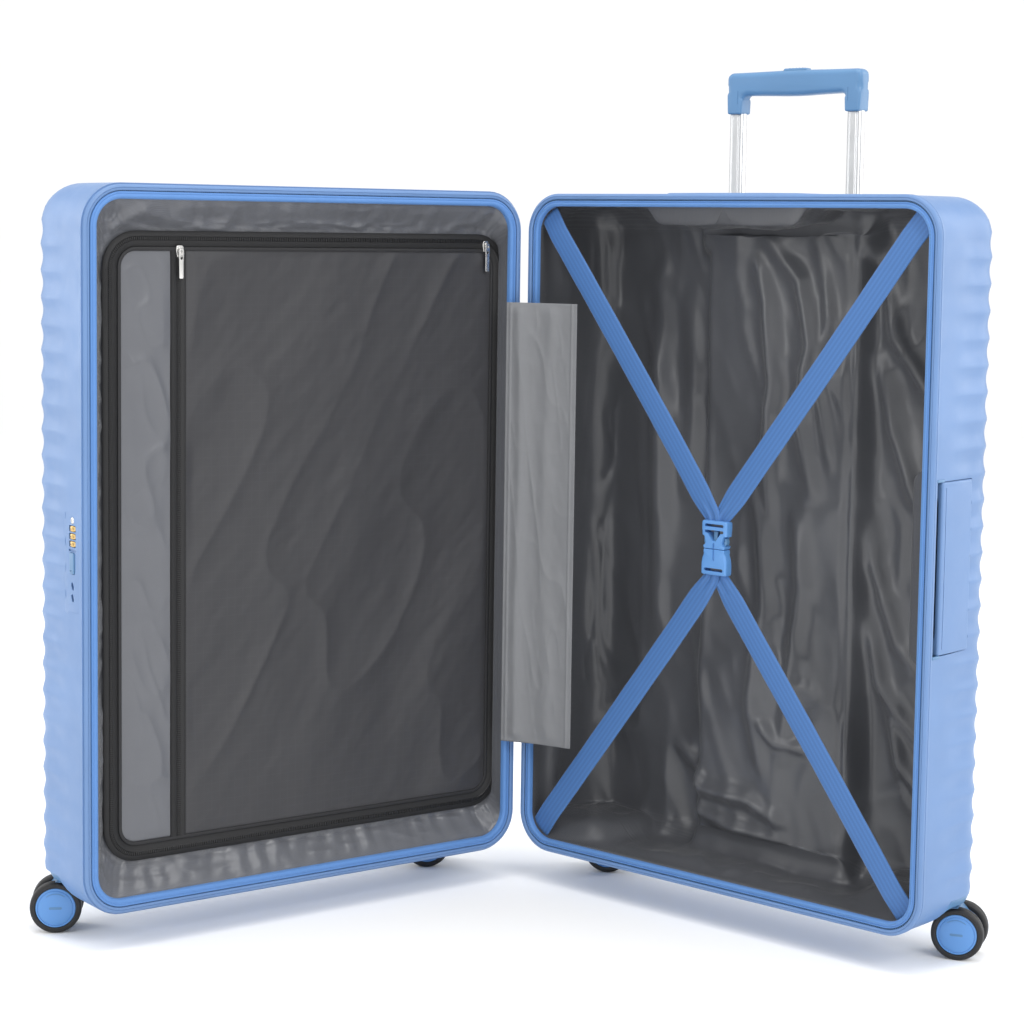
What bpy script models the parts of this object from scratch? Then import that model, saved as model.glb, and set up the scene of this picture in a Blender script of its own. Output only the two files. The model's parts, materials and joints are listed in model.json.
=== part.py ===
"""Hard shell suitcase on four twin-wheel casters, standing open like a book.

The case is two trays joined along a fabric spine: the back shell carries the trolley handle and
both carry handles, and the front shell, which opens as the lid, carries the lock and a zipped
divider. Each shell is modelled in its own coordinates: u runs from the spine to the free edge,
v from the mouth into the depth, and z is up. The two shells stand at the same tilt to the X axis.
Units are metres.
"""
import math

import bmesh
import bpy
from mathutils import Matrix, Vector

# Case body
CASE_WIDTH = 0.5130
CASE_HEIGHT = 0.7130
CASE_DEPTH = 0.1270
CASE_FLOOR = 0.0385
SPINE_GAP = 0.0030
RIM_PLANE = 0.0030
WALL = 0.0025
CORNER_RADIUS = 0.0400
EDGE_RADIUS = 0.0400
CORNER_STEPS = 4
OPEN_TILT = math.radians(39.0)
FIT = 0.0003

CASE_TOP = CASE_FLOOR + CASE_HEIGHT
CASE_SIDE = SPINE_GAP + CASE_WIDTH
CASE_MIDDLE = SPINE_GAP + CASE_WIDTH / 2

# Rim, zip tape and lining
RIM_BAND = 0.0062
RIM_THICK = 0.0060
TAPE_WIDTH = 0.0062
TAPE_FRONT = 0.0040
TAPE_THICK = 0.0040
LINING_INSET = 0.0060
LINING_THICK = 0.0012
LINING_MOUTH = 0.0125
TAPE_EDGE = RIM_BAND + FIT + TAPE_WIDTH

# Casters
WHEEL_RADIUS = 0.0262
WHEEL_SIDES = 22
TYRE_INNER = 0.0204
WHEEL_WIDTH = 0.0130
WHEEL_INNER_FACE = 0.0075
HUB_RADIUS = 0.0201
PIN_RADIUS = 0.0022
PIN_REACH = 0.0185
HUB_BORE = 0.0025
HUB_BORE_DEPTH = 0.0117
TRAIL = 0.0150
AXLE_HEIGHT = WHEEL_RADIUS * math.cos(math.pi / WHEEL_SIDES)
CASTER_SIDE_INSET = 0.0310
CASTER_BACK_INSET = 0.0260
WELL_RADIUS = 0.0455
HOUSING_RADIUS = 0.0475
HOUSING_ROOF = 0.0575
HOUSING_TOP = 0.0660
DISC_RADIUS = 0.0125
DISC_LOW = 0.0535
DISC_TOP = 0.0572
STEM_RADIUS = 0.0038
STEM_TOP = 0.0640
WEB_THICK = 0.0120
CASTER_TURN = {"back": math.radians(-17.0), "front": math.radians(9.0)}

# Trolley handle
TUBE_SPACING = 0.1470
TROLLEY_DEPTH = 0.1105
TROLLEY_MIDDLE = CASE_MIDDLE + 0.0140
OUTER_TUBE = (0.0229, 0.0179)
MID_TUBE = (0.0197, 0.0147)
INNER_TUBE = (0.0165, 0.0115)
TUBE_WALL = 0.0013
HANDLE_OUT = 0.1285
BEZEL_WIDTH = 0.2000
BEZEL_FRONT = 0.0955
BEZEL_DROP = 0.0520
BEZEL_RISE = 0.0005
BEZEL_FLOOR = 0.0480
GRIP_WIDTH = 0.1670
GRIP_THICK = 0.0180
GRIP_LEG = 0.0205
GRIP_LOW = -0.0430
GRIP_HEIGHT = 0.0430
FOOT_LOW = 0.0780
FOOT_HEIGHT = 0.0220

# Carry handles
HANDLE_LENGTH = 0.1680
HANDLE_POCKET = (0.0120, 0.0745)
HANDLE_FRONT = 0.0205
POCKET_DEPTH = 0.0180
HANDLE_PLATE = 0.0050
HANDLE_LEG = 0.0160
SIDE_HANDLE_HEIGHT = 0.3980
HANDLE_PROUD = {"side": 0.0006, "top": 0.0020}

# Lock
LOCK_HEIGHT = 0.3860
LOCK_LENGTH = 0.1040
LOCK_SPAN = (0.0095, 0.0455)
LOCK_PLATE_THICK = 0.0020
LOCK_BODY_DEPTH = 0.0130
DIAL_RADIUS = 0.0065
DIAL_THICK = 0.0054
DIAL_HEIGHTS = (0.0335, 0.0260, 0.0185)

# Straps and buckle
STRAP_WIDTH = 0.0280
STRAP_THICK = 0.0012
STRAP_DEPTH = 0.0100
BUCKLE_WIDTH = 0.0320
BUCKLE_FRONT = 0.0045
BUCKLE_THICK = 0.0110
SOCKET_HEIGHT = 0.0290
PLUG_HEIGHT = 0.0270
BUCKLE_SPLIT = 0.0020
BUCKLE_HEIGHT = CASE_FLOOR + CASE_HEIGHT / 2

# Divider and zips
DIVIDER_U = (0.0115, 0.4790)
DIVIDER_Z = (0.0865, 0.7020)
DIVIDER_FRONT = 0.0280
DIVIDER_THICK = 0.0050
DIVIDER_CORNER = 0.0300
POCKET_ZIP_U = 0.4025
SLIDER_SIZE = (0.0090, 0.0042, 0.0120)
PULL_SIZE = (0.0060, 0.0016, 0.0300)
PULL_PIVOT = 0.0006
FLAP_Z = (0.1580, 0.6360)
FLAP_REACH = (0.0225, 0.0760)
FLAP_THICK = 0.0012

PARTS = "hard_shell_suitcase"
CUTTERS = "cutters"
SIDES = ("back", "front")

COLOURS = {
    "shell": ((0.150, 0.330, 0.720), 0.42, 0.0),
    "trim": ((0.120, 0.290, 0.680), 0.38, 0.0),
    "tape": ((0.160, 0.360, 0.760), 0.85, 0.0),
    "lining": ((0.070, 0.074, 0.082), 0.55, 0.0),
    "divider": ((0.045, 0.043, 0.045), 0.80, 0.0),
    "flap": ((0.130, 0.135, 0.145), 0.60, 0.0),
    "webbing": ((0.110, 0.270, 0.600), 0.85, 0.0),
    "tyre": ((0.012, 0.012, 0.013), 0.75, 0.0),
    "aluminium": ((0.780, 0.790, 0.800), 0.32, 1.0),
    "metal": ((0.620, 0.620, 0.620), 0.25, 1.0),
    "black": ((0.020, 0.020, 0.022), 0.50, 0.0),
    "brass": ((0.640, 0.500, 0.260), 0.40, 1.0),
}


# ---------------------------------------------------------------- scene and materials

def clear_scene():
    """Remove every object, so the script always starts from nothing."""
    for old in list(bpy.data.objects):
        bpy.data.objects.remove(old, do_unlink=True)


def collection(name):
    """Return the named collection, made and linked on first use."""
    found = bpy.data.collections.get(name)
    if found is None:
        found = bpy.data.collections.new(name)
        bpy.context.scene.collection.children.link(found)
    return found


def material(key):
    """Return the Principled material of one finish."""
    found = bpy.data.materials.get(key)
    if found is None:
        colour, roughness, metallic = COLOURS[key]
        found = bpy.data.materials.new(key)
        found.use_nodes = True
        shader = found.node_tree.nodes["Principled BSDF"]
        shader.inputs["Base Color"].default_value = (*colour, 1.0)
        shader.inputs["Roughness"].default_value = roughness
        shader.inputs["Metallic"].default_value = metallic
    return found


def empty(name, parent=None, location=(0.0, 0.0, 0.0), turn=0.0):
    """Add an empty that carries a frame or a joint axis."""
    made = bpy.data.objects.new(name, None)
    collection(PARTS).objects.link(made)
    made.parent = parent
    made.location = location
    made.rotation_euler = (0.0, 0.0, turn)
    return made


# ---------------------------------------------------------------- shapes

def new_object(name, mesh):
    """Wrap a mesh in an object that waits to be seated."""
    made = bpy.data.objects.new(name, mesh)
    collection(PARTS).objects.link(made)
    return made


def from_bmesh(name, bm):
    """Turn a bmesh into an object and free it."""
    mesh = bpy.data.meshes.new(name)
    bm.to_mesh(mesh)
    bm.free()
    return new_object(name, mesh)


def block(name, low, high, bevel=0.0, segments=2):
    """A box between two opposite corners, with rounded edges where asked."""
    low, high = Vector(low), Vector(high)
    bm = bmesh.new()
    bmesh.ops.create_cube(bm, size=1.0)
    bmesh.ops.scale(bm, vec=high - low, verts=bm.verts)
    bmesh.ops.translate(bm, vec=(low + high) / 2, verts=bm.verts)
    made = from_bmesh(name, bm)
    if bevel:
        rounding = made.modifiers.new("rounding", "BEVEL")
        rounding.width = bevel
        rounding.segments = segments
        rounding.limit_method = "ANGLE"
    return made


def rod(name, start, end, radius, sides=20):
    """A round bar between two points."""
    start, end = Vector(start), Vector(end)
    along = end - start
    bm = bmesh.new()
    bmesh.ops.create_cone(
        bm, cap_ends=True, segments=sides, radius1=radius, radius2=radius, depth=along.length)
    turn = Vector((0, 0, 1)).rotation_difference(along).to_matrix()
    bmesh.ops.rotate(bm, cent=(0, 0, 0), matrix=turn, verts=bm.verts)
    bmesh.ops.translate(bm, vec=(start + end) / 2, verts=bm.verts)
    return from_bmesh(name, bm)


def turned(name, profile, closed=False):
    """A turned shape about local Z: a profile of radius and height, swept by a Screw modifier."""
    bm = bmesh.new()
    points = [bm.verts.new((radius, 0.0, height)) for radius, height in profile]
    ends = points[1:] + ([points[0]] if closed else [])
    for first, second in zip(points, ends):
        bm.edges.new((first, second))
    made = from_bmesh(name, bm)
    sweep = made.modifiers.new("sweep", "SCREW")
    sweep.steps = WHEEL_SIDES
    sweep.render_steps = WHEEL_SIDES
    sweep.use_merge_vertices = True
    sweep.merge_threshold = 0.00001
    return made


def rounded_rectangle(width, height, radius, steps):
    """Points of a rectangle with round corners about the origin, anticlockwise."""
    points = []
    for quarter in range(4):
        across = (1, -1, -1, 1)[quarter]
        up = (1, 1, -1, -1)[quarter]
        centre_x = across * (width / 2 - radius)
        centre_y = up * (height / 2 - radius)
        for step in range(steps + 1):
            angle = math.pi / 2 * (quarter + step / steps)
            points.append((centre_x + radius * math.cos(angle), centre_y + radius * math.sin(angle)))
    return points


def loft(name, loops, closed=False):
    """Skin a stack of equal loops; its two ends are capped unless the stack closes on itself."""
    bm = bmesh.new()
    rows = [[bm.verts.new(point) for point in loop] for loop in loops]
    pairs = list(zip(rows, rows[1:]))
    if closed:
        pairs.append((rows[-1], rows[0]))
    for near, far in pairs:
        for here in range(len(near)):
            after = (here + 1) % len(near)
            bm.faces.new((near[here], near[after], far[after], far[here]))
    if not closed:
        bm.faces.new(rows[0])
        bm.faces.new(rows[-1])
    bmesh.ops.recalc_face_normals(bm, faces=bm.faces)
    return from_bmesh(name, bm)


def outline_plate(name, outline, thickness):
    """A flat plate in the XY plane, centred on z = 0, from a filled 2D curve."""
    curve = bpy.data.curves.new(name, "CURVE")
    curve.dimensions = "2D"
    curve.fill_mode = "BOTH"
    curve.extrude = thickness / 2
    line = curve.splines.new("POLY")
    line.points.add(len(outline) - 1)
    for point, (across, up) in zip(line.points, outline):
        point.co = (across, up, 0.0, 1.0)
    line.use_cyclic_u = True
    guide = bpy.data.objects.new(name + "_outline", curve)
    collection(PARTS).objects.link(guide)
    evaluated = guide.evaluated_get(bpy.context.evaluated_depsgraph_get())
    bm = bmesh.new()
    bm.from_mesh(bpy.data.meshes.new_from_object(evaluated))
    bmesh.ops.remove_doubles(bm, verts=bm.verts, dist=0.00001)
    bmesh.ops.recalc_face_normals(bm, faces=bm.faces)
    bpy.data.objects.remove(guide, do_unlink=True)
    return from_bmesh(name, bm)


def reshape(made, matrix):
    """Turn or move an unseated object's mesh."""
    made.data.transform(matrix)
    if matrix.determinant() < 0:
        made.data.flip_normals()
    return made


def seat(made, side, pivot=(0.0, 0.0, 0.0), parent=None, finish=None):
    """Put a shape made in shell coordinates on its shell, with its origin at the pivot."""
    pivot = Vector(pivot)
    made.data.transform(Matrix.Translation(-pivot))
    if side == "front":
        reshape(made, Matrix.Scale(-1, 4, (1, 0, 0)))
        pivot.x = -pivot.x
    made.location = pivot
    made.parent = parent or FRAMES[side]
    if finish:
        made.data.materials.append(material(finish))
    return made


def combine(target, tool, operation):
    """Cut, join or trim a target with a tool, which moves to the cutters."""
    step = target.modifiers.new(operation.lower(), "BOOLEAN")
    step.operation = operation
    step.solver = "EXACT"
    step.object = tool
    collection(PARTS).objects.unlink(tool)
    collection(CUTTERS).objects.link(tool)
    tool.hide_render = True
    tool.display_type = "WIRE"


def on_case(side, target, tool, operation="DIFFERENCE"):
    """Seat a tool on a shell and use it on a seated target."""
    combine(target, seat(tool, side), operation)


# ---------------------------------------------------------------- shells

def case_loop(inset, depth):
    """The shell's rounded outline, moved inwards by an inset, at one depth."""
    radius = max(CORNER_RADIUS - inset, 0.0030)
    outline = rounded_rectangle(
        CASE_WIDTH - 2 * inset, CASE_HEIGHT - 2 * inset, radius, CORNER_STEPS)
    middle = CASE_FLOOR + CASE_HEIGHT / 2
    return [(CASE_MIDDLE + across, depth, middle + up) for across, up in outline]


def edge_loops(offset):
    """Loops round the back edge, from the flat back face to the side walls, at a wall offset."""
    radius = EDGE_RADIUS - offset
    loops = []
    for step in range(CORNER_STEPS + 1):
        angle = math.pi / 2 * (1 - step / CORNER_STEPS)
        inset = EDGE_RADIUS - radius * math.cos(angle)
        loops.append(case_loop(inset, CASE_DEPTH - EDGE_RADIUS + radius * math.sin(angle)))
    return loops


def tray(name):
    """A shell: outer wall, rim band turned in at the mouth, and inner wall."""
    rim_back = RIM_PLANE + RIM_THICK
    rim = [
        case_loop(0.0, RIM_PLANE),
        case_loop(RIM_BAND, RIM_PLANE),
        case_loop(RIM_BAND, rim_back),
        case_loop(WALL, rim_back),
    ]
    return loft(name, edge_loops(0.0) + rim + edge_loops(WALL)[::-1])


def case_solid(name):
    """The shell's outer shape as one solid, which trims the caster housings."""
    return loft(name, edge_loops(0.0) + [case_loop(0.0, RIM_PLANE)])


def caster_spots():
    """The swivel axes of a shell's two casters, as u and v."""
    depth = CASE_DEPTH - CASTER_BACK_INSET
    return {
        "spine": (SPINE_GAP + CASTER_SIDE_INSET, depth),
        "outer": (CASE_SIDE - CASTER_SIDE_INSET, depth),
    }


def upright(name, spot, radius, low, high, sides=32):
    """A vertical round bar at a plan position."""
    return rod(name, (*spot, low), (*spot, high), radius, sides)


def make_shell(side):
    """One shell, with its wheel wells cut away."""
    shell = seat(tray(side + "_shell"), side, finish="shell")
    for place, spot in caster_spots().items():
        well = upright(side + "_" + place + "_well", spot, HOUSING_RADIUS + FIT, 0.0, HOUSING_TOP + FIT)
        on_case(side, shell, well)
    return shell


def make_zip_tape(side):
    """The zip tape and its binding, a flat ring inside the rim band."""
    inner = TAPE_EDGE
    outer = RIM_BAND + FIT
    back = TAPE_FRONT + TAPE_THICK
    loops = [
        case_loop(outer, TAPE_FRONT),
        case_loop(inner, TAPE_FRONT),
        case_loop(inner, back),
        case_loop(outer, back),
    ]
    seat(loft(side + "_zip_tape", loops, closed=True), side, finish="tape")


# ---------------------------------------------------------------- linings

def lining_solid(name, inset, front):
    """A solid that fills the shell up to an inset from its outer surface."""
    return loft(name, edge_loops(inset) + [case_loop(inset, front)])


def lining_obstacles(side, grow):
    """What the lining passes over: the trolley, the handle pockets, the lock and the wheel wells."""
    tall = 0.2
    tools = []
    for place, spot in caster_spots().items():
        tools.append(upright(place + "_bulge", spot, HOUSING_RADIUS + 0.002 + grow, 0.0,
                             HOUSING_TOP + 0.002 + grow, 24))
    if side == "back":
        half = TUBE_SPACING / 2 + OUTER_TUBE[0] / 2 + 0.004 + grow
        tools.append(block("channel", (TROLLEY_MIDDLE - half, BEZEL_FRONT - grow, 0.0),
                           (TROLLEY_MIDDLE + half, tall, 1.0)))
        half = BEZEL_WIDTH / 2 + 0.002 + grow
        tools.append(block("bezel_bulge", (TROLLEY_MIDDLE - half, BEZEL_FRONT - 0.0015 - grow,
                                           CASE_TOP - BEZEL_DROP - 0.002 - grow),
                           (TROLLEY_MIDDLE + half, tall, 1.0)))
        reach = POCKET_DEPTH + WALL + 0.0005 + grow
        low, high = HANDLE_POCKET
        half = HANDLE_LENGTH / 2 + WALL + 0.001 + grow
        tools.append(block("side_pocket_bulge",
                           (CASE_SIDE - reach, low - 0.0035 - grow, SIDE_HANDLE_HEIGHT - half),
                           (CASE_SIDE + tall, high + 0.0035 + grow, SIDE_HANDLE_HEIGHT + half)))
        tools.append(block("top_pocket_bulge",
                           (CASE_MIDDLE - half, low - 0.0035 - grow, CASE_TOP - reach),
                           (CASE_MIDDLE + half, high + 0.0035 + grow, CASE_TOP + tall)))
    else:
        reach = LOCK_BODY_DEPTH + 0.001 + grow
        half = LOCK_LENGTH / 2 + grow
        tools.append(block("lock_bulge",
                           (CASE_SIDE - reach, LOCK_SPAN[0] - grow, LOCK_HEIGHT - half),
                           (CASE_SIDE + tall, LOCK_SPAN[1] + grow, LOCK_HEIGHT + half)))
    return tools


def make_lining(side):
    """A thin fabric tray inside the shell, raised over whatever stands behind it."""
    lining = seat(lining_solid(side + "_lining", LINING_INSET, LINING_MOUTH), side, finish="lining")
    hollow = lining_solid(side + "_lining_hollow", LINING_INSET + LINING_THICK, LINING_MOUTH - 0.002)
    for tool in lining_obstacles(side, LINING_THICK):
        tool.name = side + "_hollow_" + tool.name
        on_case(side, hollow, tool)
    for tool in lining_obstacles(side, 0.0):
        tool.name = side + "_" + tool.name
        on_case(side, lining, tool)
    on_case(side, lining, hollow)


# ---------------------------------------------------------------- casters

def make_caster_housing(side, place, spot):
    """The moulded wheel well that closes a shell's corner and holds the swivel stem."""
    name = side + "_" + place + "_caster_housing"
    housing = seat(upright(name, spot, HOUSING_RADIUS, CASE_FLOOR - 0.01, HOUSING_TOP), side,
                   finish="trim")
    on_case(side, housing, upright(name + "_well", spot, WELL_RADIUS, 0.0, HOUSING_ROOF))
    on_case(side, housing, upright(name + "_stem_hole", spot, STEM_RADIUS + 0.0005, 0.05,
                                   STEM_TOP + 0.0006, 16))
    on_case(side, housing, case_solid(name + "_trim"), "INTERSECT")


def hull_plate(name, outline, thickness):
    """A convex plate in the XZ plane from points given in any order."""
    bm = bmesh.new()
    for across, up in outline:
        for depth in (-thickness / 2, thickness / 2):
            bm.verts.new((across, depth, up))
    bmesh.ops.convex_hull(bm, input=bm.verts)
    bmesh.ops.dissolve_limit(bm, angle_limit=0.01, verts=bm.verts, edges=bm.edges)
    bmesh.ops.recalc_face_normals(bm, faces=bm.faces)
    return from_bmesh(name, bm)


def make_fork(name, swivel):
    """Swivel disc, stem and web between the wheels, with the axle pin moulded into the web."""
    boss = 0.0075
    outline = [(-0.0110, DISC_LOW + 0.001), (0.0115, DISC_LOW + 0.001)]
    for step in range(10):
        angle = 2 * math.pi * step / 10
        outline.append((TRAIL + boss * math.cos(angle), AXLE_HEIGHT + boss * math.sin(angle)))
    fork = hull_plate(name, outline, WEB_THICK)
    fork.parent = swivel
    fork.data.materials.append(material("trim"))
    disc = rod(name + "_disc", (0, 0, DISC_LOW), (0, 0, DISC_TOP), DISC_RADIUS, 24)
    stem = rod(name + "_stem", (0, 0, DISC_TOP - 0.001), (0, 0, STEM_TOP), STEM_RADIUS, 16)
    pin = rod(name + "_pin", (TRAIL, -PIN_REACH, AXLE_HEIGHT), (TRAIL, PIN_REACH, AXLE_HEIGHT),
              PIN_RADIUS, 12)
    for tool in (disc, stem, pin):
        tool.parent = swivel
        combine(fork, tool, "UNION")


def make_wheel(name, axle, facing):
    """A tyre and its capped hub on one end of the axle pin; facing is the cap's way along Y."""
    width = WHEEL_WIDTH
    crown = 0.0028
    tyre_profile = [
        (WHEEL_RADIUS, width - crown),
        (WHEEL_RADIUS, crown),
        (WHEEL_RADIUS - 0.0016, 0.0002),
        (TYRE_INNER, 0.0),
        (TYRE_INNER, width),
        (WHEEL_RADIUS - 0.0016, width - 0.0002),
    ]
    hub_profile = [
        (0.0, width + 0.0006),
        (HUB_RADIUS - 0.0020, width + 0.0004),
        (HUB_RADIUS, width - 0.0008),
        (HUB_RADIUS, 0.0006),
        (HUB_BORE, 0.0006),
        (HUB_BORE, HUB_BORE_DEPTH),
        (0.0, HUB_BORE_DEPTH),
    ]
    for part, profile, closed, finish in (
        ("tyre", tyre_profile, True, "tyre"),
        ("hub", hub_profile, False, "trim"),
    ):
        made = turned(name + "_" + part, profile, closed)
        made.data.materials.append(material(finish))
        made.data.transform(Matrix.Translation((0, 0, WHEEL_INNER_FACE)))
        made.parent = axle
        made.rotation_euler = (-facing * math.pi / 2, 0.0, 0.0)


def make_caster(side, place, spot):
    """Housing, fork and two wheels; the wheels trail outwards along X."""
    make_caster_housing(side, place, spot)
    name = side + "_" + place
    outwards = 0.0 if side == "back" else math.pi
    turn = outwards + CASTER_TURN[side] - FRAMES[side].rotation_euler.z
    across = spot[0] if side == "back" else -spot[0]
    swivel = empty(name + "_swivel", FRAMES[side], (across, spot[1], 0.0), turn)
    make_fork(name + "_fork", swivel)
    axle = empty(name + "_axle", swivel, (TRAIL, 0.0, AXLE_HEIGHT))
    make_wheel(name + "_wheel_a", axle, 1)
    make_wheel(name + "_wheel_b", axle, -1)


# ---------------------------------------------------------------- trolley

def tube(name, size, low, high, spot):
    """A rounded rectangular tube, open at both ends."""
    def ring(shrink, height):
        outline = rounded_rectangle(size[0] - shrink, size[1] - shrink, 0.0040 - shrink / 2, 2)
        return [(spot[0] + across, spot[1] + deep, height) for across, deep in outline]

    wall = 2 * TUBE_WALL
    loops = [ring(0.0, low), ring(0.0, high), ring(wall, high), ring(wall, low)]
    return loft(name, loops, closed=True)


def tube_spots():
    """The plan positions of the left and right tube."""
    return {
        "left": (TROLLEY_MIDDLE - TUBE_SPACING / 2, TROLLEY_DEPTH),
        "right": (TROLLEY_MIDDLE + TUBE_SPACING / 2, TROLLEY_DEPTH),
    }


def socket(name, size, spot, low, high):
    """A rectangular cutter round a tube position."""
    half_u, half_v = size[0] / 2, size[1] / 2
    return block(name, (spot[0] - half_u, spot[1] - half_v, low),
                 (spot[0] + half_u, spot[1] + half_v, high))


def make_trolley_bezel(shell):
    """The moulded cup in the shell's top edge that the grip drops into."""
    half = BEZEL_WIDTH / 2
    low = (TROLLEY_MIDDLE - half, BEZEL_FRONT, CASE_TOP - BEZEL_DROP)
    high = (TROLLEY_MIDDLE + half, CASE_DEPTH, CASE_TOP + BEZEL_RISE)
    bezel = seat(block("trolley_bezel", low, high, 0.0020), "back", finish="trim")
    recess = block("bezel_recess",
                   (TROLLEY_MIDDLE - GRIP_WIDTH / 2 - 0.0030, TROLLEY_DEPTH - GRIP_THICK / 2 - 0.0020,
                    CASE_TOP - BEZEL_FLOOR),
                   (TROLLEY_MIDDLE + GRIP_WIDTH / 2 + 0.0030, TROLLEY_DEPTH + GRIP_THICK / 2 + 0.0020,
                    CASE_TOP + 0.05))
    on_case("back", bezel, recess)
    for hand, spot in tube_spots().items():
        hole = socket("bezel_hole_" + hand, (MID_TUBE[0] + 0.0010, MID_TUBE[1] + 0.0010), spot,
                      CASE_TOP - 0.10, CASE_TOP)
        on_case("back", bezel, hole)
    gap = Vector((FIT, FIT, FIT))
    on_case("back", shell, block("bezel_seat", Vector(low) - gap, Vector(high) + Vector((FIT, 0.05, 0.05))))


def make_trolley_tubes():
    """Three stages of tube each side, and the foot that ties the fixed pair together."""
    stages = (
        ("outer_tube", OUTER_TUBE, FOOT_LOW + 0.0105, CASE_TOP - BEZEL_DROP - FIT),
        ("mid_tube", MID_TUBE, FOOT_LOW + 0.0150, CASE_TOP - 0.0440),
        ("inner_tube", INNER_TUBE, FOOT_LOW + 0.0200 + HANDLE_OUT,
         CASE_TOP + GRIP_LOW + 0.0150 + HANDLE_OUT),
    )
    for hand, spot in tube_spots().items():
        for name, size, low, high in stages:
            made = tube(name + "_" + hand, size, low, high, spot)
            seat(made, "back", (*spot, low), finish="aluminium")
    half = TUBE_SPACING / 2 + 0.0145
    foot = block("trolley_foot", (TROLLEY_MIDDLE - half, 0.0970, FOOT_LOW),
                 (TROLLEY_MIDDLE + half, CASE_DEPTH - WALL - FIT, FOOT_LOW + FOOT_HEIGHT))
    seat(foot, "back", finish="black")
    for hand, spot in tube_spots().items():
        hole = socket("foot_hole_" + hand, (OUTER_TUBE[0] + 0.0006, OUTER_TUBE[1] + 0.0006), spot,
                      FOOT_LOW + 0.0100, FOOT_LOW + 0.05)
        on_case("back", foot, hole)


def grip_outline():
    """The grip seen from the front: two legs and a slightly crowned bar."""
    half = GRIP_WIDTH / 2
    inner = half - GRIP_LEG
    right = [
        (inner + 0.0010, 0.0), (half - 0.0012, 0.0), (half, GRIP_HEIGHT - 0.0080),
        (half - 0.0060, GRIP_HEIGHT - 0.0012), (half * 0.55, GRIP_HEIGHT), (0.0, GRIP_HEIGHT + 0.0008),
    ]
    belly = [(inner, 0.0170), (inner - 0.0050, 0.0205), (half * 0.45, 0.0182), (0.0, 0.0168)]
    left = [(-across, up) for across, up in reversed(right[:-1])]
    under = [(-across, up) for across, up in belly[:-1]] + list(reversed(belly))
    return right + left + under


def make_grip():
    """The pull grip on the inner tubes, with its release button in the top of the bar."""
    base = CASE_TOP + GRIP_LOW + HANDLE_OUT
    grip = outline_plate("grip", grip_outline(), GRIP_THICK)
    reshape(grip, Matrix.Rotation(math.pi / 2, 4, "X"))
    reshape(grip, Matrix.Translation((TROLLEY_MIDDLE, TROLLEY_DEPTH, base)))
    seat(grip, "back", (TROLLEY_MIDDLE, TROLLEY_DEPTH, base), finish="trim")
    rounding = grip.modifiers.new("rounding", "BEVEL")
    rounding.width = 0.0030
    rounding.segments = 2
    rounding.limit_method = "ANGLE"
    rounding.angle_limit = math.radians(50)
    for hand, spot in tube_spots().items():
        hole = socket("grip_hole_" + hand, (INNER_TUBE[0] + 0.0006, INNER_TUBE[1] + 0.0006), spot,
                      base - 0.02, base + 0.0155)
        on_case("back", grip, hole)
    top = base + GRIP_HEIGHT
    pocket = block("button_pocket", (TROLLEY_MIDDLE - 0.0150, TROLLEY_DEPTH - 0.0055, top - 0.0120),
                   (TROLLEY_MIDDLE + 0.0150, TROLLEY_DEPTH + 0.0055, top + 0.02))
    on_case("back", grip, pocket)
    button = block("release_button", (TROLLEY_MIDDLE - 0.0146, TROLLEY_DEPTH - 0.0051, top - 0.0070),
                   (TROLLEY_MIDDLE + 0.0146, TROLLEY_DEPTH + 0.0051, top + 0.0026), 0.0012)
    seat(button, "back", (TROLLEY_MIDDLE, TROLLEY_DEPTH, top), finish="trim")


# ---------------------------------------------------------------- carry handles

def handle_frame(wall):
    """A matrix from handle coordinates to the shell: length, depth into the case, and v."""
    if wall == "side":
        origin = Vector((CASE_SIDE, 0.0, SIDE_HANDLE_HEIGHT))
        length, inwards = Vector((0, 0, 1)), Vector((-1, 0, 0))
    else:
        origin = Vector((CASE_MIDDLE, 0.0, CASE_TOP))
        length, inwards = Vector((1, 0, 0)), Vector((0, 0, -1))
    columns = (length, inwards, Vector((0, 1, 0)), origin)
    matrix = Matrix.Identity(4)
    for index, column in enumerate(columns):
        for row in range(3):
            matrix[row][index] = column[row]
    return matrix


def handle_block(name, wall, low, high):
    """A box in handle coordinates."""
    return reshape(block(name, low, high), handle_frame(wall))


def make_handle(shell, wall):
    """A flush carry handle: a plate on two legs in a pocket sunk in the shell's wall."""
    name = wall + "_handle"
    half = HANDLE_LENGTH / 2
    low, high = HANDLE_POCKET
    bump = handle_block(name + "_bump", wall, (-half - WALL, 0.0010, low - WALL),
                        (half + WALL, POCKET_DEPTH + WALL, high + WALL))
    on_case("back", shell, bump, "UNION")
    pocket = handle_block(name + "_pocket", wall, (-half, -0.02, low), (half, POCKET_DEPTH, high))
    on_case("back", shell, pocket)
    half -= FIT
    inner = half - 0.0140
    proud = -HANDLE_PROUD[wall]
    outline = [
        (-half, proud), (half, proud), (half, HANDLE_LEG), (inner, HANDLE_LEG),
        (inner, HANDLE_PLATE), (-inner, HANDLE_PLATE), (-inner, HANDLE_LEG), (-half, HANDLE_LEG),
    ]
    span = high - FIT - HANDLE_FRONT
    plate = outline_plate(name, outline, span)
    reshape(plate, Matrix.Translation((0, 0, HANDLE_FRONT + span / 2)))
    reshape(plate, handle_frame(wall))
    pivot = handle_frame(wall) @ Vector((0, 0, HANDLE_FRONT + span / 2))
    seat(plate, "back", pivot, finish="trim")


# ---------------------------------------------------------------- lock

def lock_block(name, reach_in, reach_out, middle, half, span):
    """A box on the lock, by how far it reaches in and out of the side wall."""
    return block(name, (CASE_SIDE - reach_in, span[0], LOCK_HEIGHT + middle - half),
                 (CASE_SIDE + reach_out, span[1], LOCK_HEIGHT + middle + half))


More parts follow.
